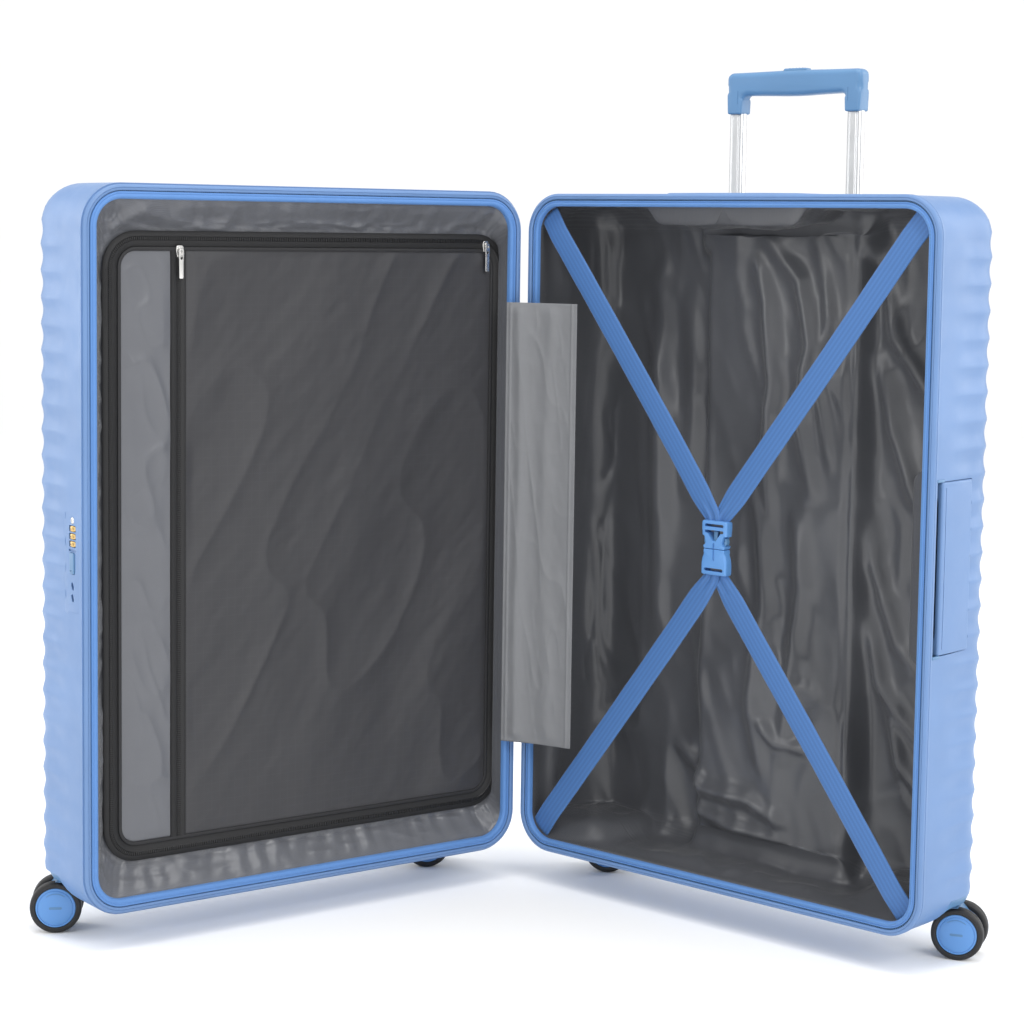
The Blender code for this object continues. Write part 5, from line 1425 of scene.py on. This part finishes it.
def make_trolley():
    """The grooved tubes, the sculpted grip with its release button, and the cup it drops into; the
    fixed tubes and their foot are the frame's own."""
    place = on_shell("back")
    for hand in ("left", "right"):
        for stage, size, body in (("inner", (.0165, .0115), "trolley_top"),
                                  ("mid", (.0197, .0147), "trolley_mid")):
            node = "%s_tube_%s" % (stage, hand)
            low, high = node_span(node, "back")
            u, v = (low[0] + high[0]) / 2, (low[1] + high[1]) / 2

            def upright_place(across, up, deep, u=u, v=v):
                return to_world("back", np.stack([u + across, v + up, deep], -1))

            made = slab(node + "_section", grooved_outline(*size, 0.0038), low[2], high[2], 0.0005,
                        upright_place, 2)
            dress(made, body, finish("tube"), "tube", node)
    low, high = node_span("grip", "back")
    half, tall, base = (high[0] - low[0]) / 2, high[2] - low[2] - 0.0008, low[2]
    inner = half - 0.0200
    shape = [(inner + .0012, 0), (half - .0014, 0), (half, tall * 0.62), (half, tall - .0002),
             (half * 0.55, tall),
             (0, tall + .0008), (-half * 0.55, tall), (-half, tall - .0002), (-half, tall * 0.62),
             (-half + .0014, 0), (-inner - .0012, 0), (-inner, .0190), (-half * 0.45, .0184), (0, .0170),
             (half * 0.45, .0184), (inner, .0190)]
    radii = [.0025, .0025, .02, .0105, .02, .02, .02, .0105, .02, .0025, .0025, .0062, .02, .02, .02, .0062]
    outline = round_corners(shape, radii, 8)
    outline = outline + np.array([TROLLEY[0], base])
    grip = slab("grip_handle", outline, low[1] + .0001, high[1] - .0001, 0.0058, place, 7, 45)
    spot = middle_of("release_button", "back")
    tools = [block("pocket", (spot[0] - .0152, spot[1] - .0058, spot[2] - .008),
                   (spot[0] + .0152, spot[1] + .0058, spot[2] + .03), 0.0012, place)]
    for hand in (-1, 1):
        face = low[1] + .0001
        groove = round_corners([(hand * (inner + .0045), .0100), (hand * (inner + .0045), .0240),
                                (hand * (inner + .0055), .0240), (hand * (inner + .0055), .0100)], .0004)
        tools.append(slab("groove", groove + np.array([TROLLEY[0], base]), face - .01, face + .0004, 0.0002,
                          place, 1))
    carve(grip, [join("tools", tools)], crease=38)
    dress(grip, "trolley_top", finish("trim"), "trim", "grip")
    low, high = node_span("release_button", "back")
    button = block("release_button_cap", low, high, 0.0016, place, 4, 0.0024)
    ribs = [block("rib", (spot[0] + x - .0006, low[1] + .0022, high[2] - .0004),
                  (spot[0] + x + .0006, high[1] - .0022, high[2] + .0003), 0.0003, place, 2)
            for x in np.linspace(-.008, .008, 5)]
    made = join("release_button_cap", [button] + ribs)
    tidy_mesh(made.data, crease=35)
    dress(made, "release_button", finish("trim"), "trim", "release_button")
    low, high = node_span("trolley_bezel", "back")
    bezel = block("trolley_cup", low, high, 0.0018, place, 3, 0.003)
    grip_low, grip_high = node_span("grip", "back")
    hollow = block("hollow", (grip_low[0] - .003, grip_low[1] - .002, high[2] - .048),
                   (grip_high[0] + .003, grip_high[1] + .002, high[2] + .05), 0.0020, place, 3, 0.006)
    carve(bezel, [hollow])
    holes = []
    for hand in ("left", "right"):
        a, b = node_span("mid_tube_" + hand, "back")
        holes.append(block("hole", (a[0] - .0005, a[1] - .0005, high[2] - .1),
                           (b[0] + .0005, b[1] + .0005, high[2] - .03),
                           0.0005, place, 2, 0.003))
    carve(bezel, [join("holes", holes)])
    dress(bezel, "back_shell", finish("trim"), "trim", "trolley_bezel")
    for node in ("outer_tube_left", "outer_tube_right"):
        repaint(node, "tube")
    repaint("trolley_foot", "black")


def repaint(node, key):
    """Give a CAD node that stays a full material."""
    made = frame["nodes"][node]
    made.data.materials.clear()
    made.data.materials.append(finish(key))


# ---------------------------------------------------------------- carry handles and lock

def make_handle(wall):
    """A flush carry handle: a plate on two legs, its corners rounded, with a moulded line along its
    front and a hinge barrel at each end."""
    node = wall + "_handle"
    proud = 0.0006 if wall == "side" else 0.0020
    half = HANDLE_HALF - FIT
    inner = half - 0.0140
    shape = [(-half, proud), (-half * 0.5, proud + .0002), (half * 0.5, proud + .0002), (half, proud),
             (half, -.0160),
             (inner, -.0160), (inner - .002, -.0052), (-inner + .002, -.0052), (-inner, -.0160),
             (-half, -.0160)]
    outline = round_corners(shape, [.0035, .01, .01, .0035, .0025, .0025, .005, .005, .0025, .0025], 6)
    place = handle_place(wall)
    plate = slab(node + "_plate", outline, HANDLE_FRONT, HANDLE_SPAN[1] - FIT, 0.0022, place, 5)
    top = proud
    grooves = [slab("groove", round_corners([(-half * .93, top - .0005), (half * .93, top - .0005),
                                             (half * .93, top + .004), (-half * .93, top + .004)], .0002),
                    HANDLE_FRONT + .0062, HANDLE_FRONT + .0070, 0.0002, place, 1)]
    carve(plate, grooves, crease=38)
    dress(plate, node, finish("shell"), "trim", node)
    make_pocket(wall)
    lips = []
    for hand in (-1, 1):
        lips.append(handle_box("lip", wall, sorted((hand * (HANDLE_HALF - .0008),
                                                    hand * (HANDLE_HALF + .0022))),
                               (-.003, .0009), (HANDLE_SPAN[0] - .0010, HANDLE_SPAN[0] + .0120), 0.0007,
                               0.0012))
    made = join(wall + "_handle_lips", lips)
    tidy_mesh(made.data, crease=35)
    dress(made, "back_shell", finish("trim"), "trim")


def lock_box(name, reach, rise, middle, half, deep, rounding=0.0005, corner=None):
    """A box on the lock, from its reach into and out of the wall, its height, and its span in v."""
    place = lambda across, up, out: to_world("front",
                                             np.stack([CASE_SIDE + out, up, LOCK_HEIGHT + across], -1))
    outline = rounded_outline(2 * half, deep[1] - deep[0], corner or 0.0008, 4,
                              centre=(middle, (deep[0] + deep[1]) / 2))
    return slab(name, outline, reach, rise, rounding, place, 3)


def make_lock():
    """The combination lock: a rounded plate with windows, three numbered dials, a key cylinder, a
    button with a grip line, and two slanted sockets for the zip pulls."""
    middle = sum(LOCK_SPAN) / 2
    plate = lock_box("lock_face", -0.0120, 0.0020, 0.0, 0.0520, LOCK_SPAN, 0.0011, 0.0060)
    tools = [lock_box("slot", -0.0095, 0.01, rise, 0.0031, (middle - .0072, middle + .0072), 0.0003, 0.0010)
             for rise in (0.0335, 0.0260, 0.0185)]
    tools.append(lock_box("well", -0.0050, 0.01, -0.0005, 0.0108, (middle - .0053, middle + .0053), 0.0004,
                          0.002))
    tools.append(lock_box("slot", 0.0008, 0.01, 0.0122, 0.0011, (middle - .0080, middle + .0080), 0.0002,
                          0.0008))
    place = lambda across, up, out: to_world("front",
                                             np.stack([CASE_SIDE + out, up, LOCK_HEIGHT + across], -1))
    for rise in (-0.0230, -0.0345):
        turn = np.linspace(0, 2 * np.pi, 24, endpoint=False)
        oval = np.stack([.0042 * np.cos(turn), .0023 * np.sin(turn)], -1)
        lean = math.radians(24)
        oval = oval @ np.array([[math.cos(lean), math.sin(lean)], [-math.sin(lean), math.cos(lean)]])
        tools.append(slab("socket", oval + [rise, middle], -0.0060, 0.01, 0.0002, place, 1))
    key_spot = to_world("front", (CASE_SIDE, middle, LOCK_HEIGHT + 0.0415))
    out = to_world("front", (1.0, 0, 0)) - to_world("front", (0.0, 0, 0))
    tools.append(lathe("bore", [(0, -0.0085), (.0035, -0.0085), (.0035, .01), (0, .01)], key_spot, out, 32))
    carve(plate, [join("tools", tools)], crease=35)
    dress(plate, "front_shell", finish("shell"), "trim", "lock_plate")
    for number in (1, 2, 3):
        node = "lock_dial_%d" % number
        spot = middle_of(node, "front")
        centre = to_world("front", spot)
        dial = lathe(node + "_wheel", [(0, -.0027), (.0055, -.0027), (.0062, -.0022), (.0065, -.0016),
                                       (.0065, .0016),
                                       (.0062, .0022), (.0055, .0027), (0, .0027)], centre, (0, 0, 1), 60)
        dress(dial, node, finish("brass"), "dial", node)
        marks = []
        for digit in range(10):
            angle = digit * 2 * math.pi / 10
            way = np.array([-math.sin(angle), math.cos(angle), 0.0])
            start = np.array([math.cos(angle), math.sin(angle), 0.0])
            face = bpy.data.curves.new("digit", "FONT")
            face.body, face.size, face.extrude = str(digit), 0.0034, 0.00010
            face.align_x, face.align_y, face.resolution_u = "CENTER", "CENTER", 2
            text = bpy.data.objects.new("digit", face)
            bpy.context.scene.collection.objects.link(text)
            bpy.context.view_layer.update()
            mesh = bpy.data.meshes.new_from_object(text.evaluated_get(bpy.context.evaluated_depsgraph_get()))
            bpy.data.objects.remove(text, do_unlink=True)
            flat = np.zeros(len(mesh.vertices) * 3)
            mesh.vertices.foreach_get("co", flat)
            flat = flat.reshape(-1, 3)
            flat = centre + start * (0.00648 + flat[:, 2:3] * 0.6) + way * flat[:,
                                                                                0:1] + np.array([0, 0,
                                                                                                 1.0]) * flat[:, 1:2]
            mesh.vertices.foreach_set("co", flat.ravel())
            made = bpy.data.objects.new("digit", mesh)
            bpy.context.scene.collection.objects.link(made)
            marks.append(made)
        ink = join(node + "_digits", marks)
        dress(ink, node, finish("digit"), "dial")
    key = lathe("key_barrel", [(0, -.0080), (.0032, -.0080), (.0032, .0018), (.0028, .0023), (.0020, .0024),
                               (0, .0024)],
                key_spot, out, 32)
    low = lock_box("way", 0.0006, 0.01, 0.0415, 0.0019, (middle - .0005, middle + .0005), 0.0001, 0.0003)
    carve(key, [low])
    dress(key, "key_cylinder", finish("nickel"), "zip_metal", "key_cylinder")
    button = lock_box("lock_button_cap", -0.0030, 0.0032, -0.0005, 0.0104, (middle - .0049, middle + .0049),
                      0.0009,
                      0.0018)
    carve(button, [lock_box("line", 0.0027, 0.01, -0.0078, 0.0007, (middle - .0030, middle + .0030), 0.0001,
                            0.0004)])
    dress(button, "lock_button", finish("trim"), "trim", "lock_button")


# ---------------------------------------------------------------- zip pullers

def make_puller(name, side, pull_long):
    """A zip slider with a bridge, and its pull: a rounded tab with a ring end and a window."""
    low, high = node_span(name + "_slider", side)
    place = on_shell(side)
    middle, size = (low + high) / 2, high - low
    wide, tall, thick = size[0] / 2, size[2] / 2, size[1]
    plan = round_corners([(-wide * .62, -tall), (wide * .62, -tall), (wide, tall * .35), (wide * .72, tall),
                          (-wide * .72, tall), (-wide, tall * .35)], [.001, .001, .003, .002, .002, .003])
    body = slab("body", plan + middle[[0, 2]], low[1] + thick * .35, high[1], 0.0006, place, 3)
    bridge = slab("bridge", bar(-.0012, .0012, -tall * .62, tall * .70, .0010) + middle[[0, 2]],
                  low[1] + .0001, low[1] + thick * .5, 0.0005, place, 3)
    made = join(name + "_slider_body", [body, bridge])
    tidy_mesh(made.data, crease=35)
    dress(made, name + "_slider", finish("nickel"), "zip_metal", name + "_slider")
    if not pull_long:
        return
    low, high = node_span(name + "_pull", side)
    middle, half = (low + high) / 2, (high[0] - low[0]) / 2
    top, bottom = high[2], low[2]
    shape = round_corners([(-half * .84, bottom), (half * .84, bottom), (half * .84, top - .0125),
                           (half, top - .0060), (half * .92, top), (-half * .92, top), (-half, top - .0060),
                           (-half * .84, top - .0125)], [.0016, .0016, .004, .004, .0030, .0030, .004, .004])
    pull = slab(name + "_pull_tab", shape + [middle[0], 0], low[1], high[1], 0.00055, place, 3)
    holes = [slab("hole", bar(-.0014, .0014, top - .0048, top - .0020, .0013) + [middle[0], 0], low[1] - .01,
                  high[1] + .01, 0.0002, place, 1),
             slab("hole", bar(-.0013, .0013, top - .0112, top - .0070, .0012) + [middle[0], 0], low[1] - .01,
                  high[1] + .01, 0.0002, place, 1)]
    carve(pull, [join("holes", holes)])
    dress(pull, name + "_pull", finish("nickel"), "zip_metal", name + "_pull")


def make_main_slider(node):
    """A slider of the main zip, parked at the spine, with its short tab."""
    low, high = node_span(node, "back")
    middle = (low + high) / 2
    place = on_shell("back")
    up = 1 if "lower" in node else -1
    body_z = high[2] - .0120 if up < 0 else low[2]
    body = slab("body", bar(-.0040, .0040, body_z, body_z + .0120, .0025) + [middle[0], 0], low[1] + .0014,
                high[1],
                0.0008, place, 3)
    bridge = slab("bridge", bar(-.0011, .0011, body_z + .002, body_z + .010, .0009) + [middle[0], 0],
                  low[1] + .0001,
                  low[1] + .0030, 0.0004, place, 2)
    tab = slab("tab", bar(-.0026, .0026, low[2] + .0002, high[2] - .0002, .0020) + [middle[0], 0],
               low[1] + .0002,
               low[1] + .0014, 0.0004, place, 2)
    made = join(node + "_body", [body, bridge, tab])
    tidy_mesh(made.data, crease=35)
    dress(made, node, finish("nickel"), "zip_metal", node)


# ---------------------------------------------------------------- camera, light and floor

def make_camera(look):
    """A camera at the front, a little right of the spine and above the middle, looking slightly down."""
    lens = bpy.data.cameras.new("front_camera")
    lens.lens, lens.sensor_width, lens.shift_y = look.camera_lens, 36.0, -0.06
    camera = bpy.data.objects.new("front_camera", lens)
    bpy.context.scene.collection.objects.link(camera)
    camera.location = (0.1222, -2.4171, 0.7163)
    camera.rotation_euler = (math.radians(90 - 5.432), math.radians(-0.789), math.radians(3.08))
    bpy.context.scene.camera = camera


def area_light(name, spot, aim, size, power, colour=(1, 1, 1)):
    """A soft rectangular light at a spot, turned to its aim."""
    light = bpy.data.lights.new(name, "AREA")
    light.shape, light.size, light.size_y = "RECTANGLE", size[0], size[1]
    light.energy, light.color = power, colour
    lamp = bpy.data.objects.new(name, light)
    bpy.context.scene.collection.objects.link(lamp)
    lamp.location = spot
    lamp.rotation_euler = (Vector(aim) - Vector(spot)).to_track_quat("-Z", "Y").to_euler()


def make_stage(look):
    """A pale floor that curves up into a backdrop, an even white surround and soft lights."""
    run = np.linspace(0, 1, 60)
    depth = np.concatenate([np.linspace(-6, 6, 20), 6 + 3 * np.sin(run * np.pi / 2), np.full(10, 9.0)])
    rise = np.concatenate([np.zeros(20), 3 * (1 - np.cos(run * np.pi / 2)), np.linspace(3.2, 9, 10)])
    across = np.linspace(-12, 12, 30)
    points = np.stack([np.broadcast_to(across[None], (len(depth), 30)),
                       np.broadcast_to(depth[:, None], (len(depth), 30)),
                       np.broadcast_to(rise[:, None], (len(depth), 30))], -1)
    floor = piece("studio_floor", points, quads(*points.shape[:2]))
    paper = Finish("studio white paper", (0.97, 0.97, 0.97), 0.9)
    grain = paper.noise(paper.place(), 400.0, 2.0)
    paper.paint(paper.mix(grain, (0.965, 0.965, 0.965), (0.975, 0.975, 0.975)))
    floor.data.materials.append(paper.material)
    world = bpy.data.worlds.new("studio surround")
    bpy.context.scene.world = world
    world.use_nodes = True
    surround = world.node_tree.nodes["Background"]
    surround.inputs["Color"].default_value = (1.0, 1.0, 1.0, 1.0)
    surround.inputs["Strength"].default_value = look.surround
    area_light("key", (1.9, -2.6, 2.3), (0, 0, 0.4), (1.6, 1.6), look.key_power)
    area_light("fill", (-2.3, -2.3, 1.6), (0, 0, 0.4), (1.4, 1.8), look.key_power * 0.40)
    area_light("top", (0.0, -0.3, 2.9), (0, 0, 0.4), (2.4, 1.6), look.key_power * 0.7)
    area_light("left_edge", (-2.4, 0.6, 1.2), (0, 0, 0.4), (0.8, 2.0), look.key_power * 0.35)
    area_light("right_edge", (2.4, 0.8, 1.2), (0, 0, 0.4), (0.8, 2.0), look.key_power * 0.35)
    bpy.context.scene.view_settings.view_transform = "Standard"


# ---------------------------------------------------------------- settings, operators and panel

def colour(name, description, default):
    """A colour setting."""
    return FloatVectorProperty(name=name, description=description, default=default, subtype="COLOR", size=3,
                               min=0.0, max=1.0)


class SuitcaseLooks(bpy.types.PropertyGroup):
    """Sizes and colours of the suitcase's finishes."""

    rib_pitch: FloatProperty(name="Rib pitch", description="Distance between the crests of the shell's ribs",
                             default=0.0262, min=0.01, max=0.06, unit="LENGTH")
    rib_depth: FloatProperty(name="Rib depth", description="How far the shell falls in between two crests",
                             default=0.0026, min=0.0, max=0.006, unit="LENGTH")
    shell_rows: IntProperty(name="Shell rows", description="Rows of faces up the shell's wall", default=250,
                            min=40, max=500)
    shell_colour: colour("Shell", "Colour of the moulded shell", (0.120, 0.222, 0.430))
    trim_colour: colour("Trim", "Colour of the rims, handles and wheel wells", (0.088, 0.205, 0.375))
    cap_colour: colour("Caps", "Colour of the wheel caps and the buckle", (0.100, 0.265, 0.580))
    binding_colour: colour("Binding", "Colour of the woven zip binding", (0.090, 0.225, 0.520))
    webbing_colour: colour("Webbing", "Colour of the packing straps", (0.046, 0.140, 0.360))
    lining_colour: colour("Lining", "Colour of the satin lining", (0.078, 0.081, 0.090))
    divider_colour: colour("Divider", "Colour of the divider's ripstop", (0.036, 0.036, 0.040))
    flap_colour: colour("Flap", "Colour of the satin flap over the spine", (0.170, 0.175, 0.185))
    satin_roughness: FloatProperty(name="Satin roughness", description="Roughness of the satin cloths",
                                   default=0.27, min=0.1, max=0.9, subtype="FACTOR")
    drape_frames: IntProperty(name="Drape frames", description="Steps of the lining's cloth simulation",
                              default=22, min=0, max=60)
    drape_spare: FloatProperty(name="Spare cloth", description="How much larger the lining is cut",
                               default=0.05, min=0.0, max=0.2, subtype="FACTOR")
    drape_stiffness: FloatProperty(name="Bending", description="Stiffness of the lining against folding",
                                   default=0.35, min=0.0, max=5.0)


class SuitcaseStudio(bpy.types.PropertyGroup):
    """Camera and light."""

    camera_lens: FloatProperty(name="Lens", description="Focal length of the camera", default=82.64, min=20.0,
                               max=200.0, unit="CAMERA")
    key_power: FloatProperty(name="Key power", description="Power of the main light", default=46.0, min=0.0,
                             max=1000.0, unit="POWER")
    surround: FloatProperty(name="Surround", description="Strength of the white surround", default=1.0,
                            min=0.0, max=3.0)


def looks():
    """The finish settings of the scene."""
    return bpy.context.scene.suitcase_looks


def studio():
    """The camera and light settings of the scene."""
    return bpy.context.scene.suitcase_studio


class SUITCASE_OT_camera(bpy.types.Operator):
    """Set up the camera at the front"""

    bl_idname, bl_label = "suitcase.camera", "Camera"

    def execute(self, context):
        make_camera(studio())
        return {"FINISHED"}


class SUITCASE_OT_shells(bpy.types.Operator):
    """Build both ribbed shells with their rim bands"""

    bl_idname, bl_label = "suitcase.shells", "Shells"

    def execute(self, context):
        for side in SIDES:
            make_shell(side, looks())
            make_rim(side)
        return {"FINISHED"}


class SUITCASE_OT_bindings(bpy.types.Operator):
    """Build the main zip's binding, stitches and teeth on both shells"""

    bl_idname, bl_label = "suitcase.bindings", "Zip bindings"

    def execute(self, context):
        for side in SIDES:
            make_binding(side)
        return {"FINISHED"}


class SUITCASE_OT_linings(bpy.types.Operator):
    """Build the satin linings of both shells"""

    bl_idname, bl_label = "suitcase.linings", "Linings"

    def execute(self, context):
        make_back_lining(looks())
        make_front_lining()
        make_gusset()
        return {"FINISHED"}


class SUITCASE_OT_divider(bpy.types.Operator):
    """Build the zipped divider of the front shell"""

    bl_idname, bl_label = "suitcase.divider", "Divider"

    def execute(self, context):
        make_divider()
        return {"FINISHED"}


class SUITCASE_OT_flap(bpy.types.Operator):
    """Build the satin flap over the spine"""

    bl_idname, bl_label = "suitcase.flap", "Hinge flap"

    def execute(self, context):
        make_flap()
        return {"FINISHED"}


class SUITCASE_OT_straps(bpy.types.Operator):
    """Build the packing straps and their buckle"""

    bl_idname, bl_label = "suitcase.straps", "Straps and buckle"

    def execute(self, context):
        make_straps()
        make_buckle()
        return {"FINISHED"}


class SUITCASE_OT_casters(bpy.types.Operator):
    """Build the wheel wells, forks and twin wheels"""

    bl_idname, bl_label = "suitcase.casters", "Casters"

    def execute(self, context):
        for side in SIDES:
            for place in caster_spots():
                make_housing(side, place)
                make_caster(side, place)
        return {"FINISHED"}


class SUITCASE_OT_trolley(bpy.types.Operator):
    """Build the trolley's tubes, grip and cup"""

    bl_idname, bl_label = "suitcase.trolley", "Trolley handle"

    def execute(self, context):
        make_trolley()
        return {"FINISHED"}


class SUITCASE_OT_handles(bpy.types.Operator):
    """Build the two flush carry handles"""

    bl_idname, bl_label = "suitcase.handles", "Carry handles"

    def execute(self, context):
        make_handle("side")
        make_handle("top")
        return {"FINISHED"}


class SUITCASE_OT_lock(bpy.types.Operator):
    """Build the combination lock"""

    bl_idname, bl_label = "suitcase.lock", "Lock"

    def execute(self, context):
        make_lock()
        return {"FINISHED"}


class SUITCASE_OT_pullers(bpy.types.Operator):
    """Build the zip sliders and their pulls"""

    bl_idname, bl_label = "suitcase.pullers", "Zip pullers"

    def execute(self, context):
        make_puller("pocket", "front", True)
        make_puller("divider", "front", True)
        make_main_slider("main_slider_upper")
        make_main_slider("main_slider_lower")
        return {"FINISHED"}


class SUITCASE_OT_stage(bpy.types.Operator):
    """Build the floor and the lights"""

    bl_idname, bl_label = "suitcase.stage", "Stage"

    def execute(self, context):
        make_stage(studio())
        return {"FINISHED"}


OPERATORS = (
    SUITCASE_OT_camera, SUITCASE_OT_shells, SUITCASE_OT_bindings, SUITCASE_OT_linings, SUITCASE_OT_divider,
    SUITCASE_OT_flap, SUITCASE_OT_straps, SUITCASE_OT_casters, SUITCASE_OT_trolley, SUITCASE_OT_handles,
    SUITCASE_OT_lock, SUITCASE_OT_pullers, SUITCASE_OT_stage,
)


class SUITCASE_PT_panel(bpy.types.Panel):
    """Settings and build steps in the sidebar"""

    bl_idname, bl_label = "SUITCASE_PT_panel", "Suitcase"
    bl_space_type, bl_region_type, bl_category = "VIEW_3D", "UI", "Suitcase"

    def draw(self, context):
        for group in (context.scene.suitcase_looks, context.scene.suitcase_studio):
            box = self.layout.box()
            for name in group.__annotations__:
                box.prop(group, name)
        for operator in OPERATORS:
            self.layout.operator(operator.bl_idname)


CLASSES = (SuitcaseLooks, SuitcaseStudio) + OPERATORS + (SUITCASE_PT_panel,)


def register():
    """Add the settings, operators and panel."""
    for one in CLASSES:
        bpy.utils.register_class(one)
    bpy.types.Scene.suitcase_looks = PointerProperty(type=SuitcaseLooks)
    bpy.types.Scene.suitcase_studio = PointerProperty(type=SuitcaseStudio)


def unregister():
    """Remove the settings, operators and panel."""
    del bpy.types.Scene.suitcase_studio, bpy.types.Scene.suitcase_looks
    for one in reversed(CLASSES):
        bpy.utils.unregister_class(one)


def main():
    """Register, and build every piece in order."""
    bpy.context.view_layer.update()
    register()
    for operator in OPERATORS:
        group, action = operator.bl_idname.split(".")
        getattr(getattr(bpy.ops, group), action)()
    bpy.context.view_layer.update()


if __name__ == "__main__":
    main()
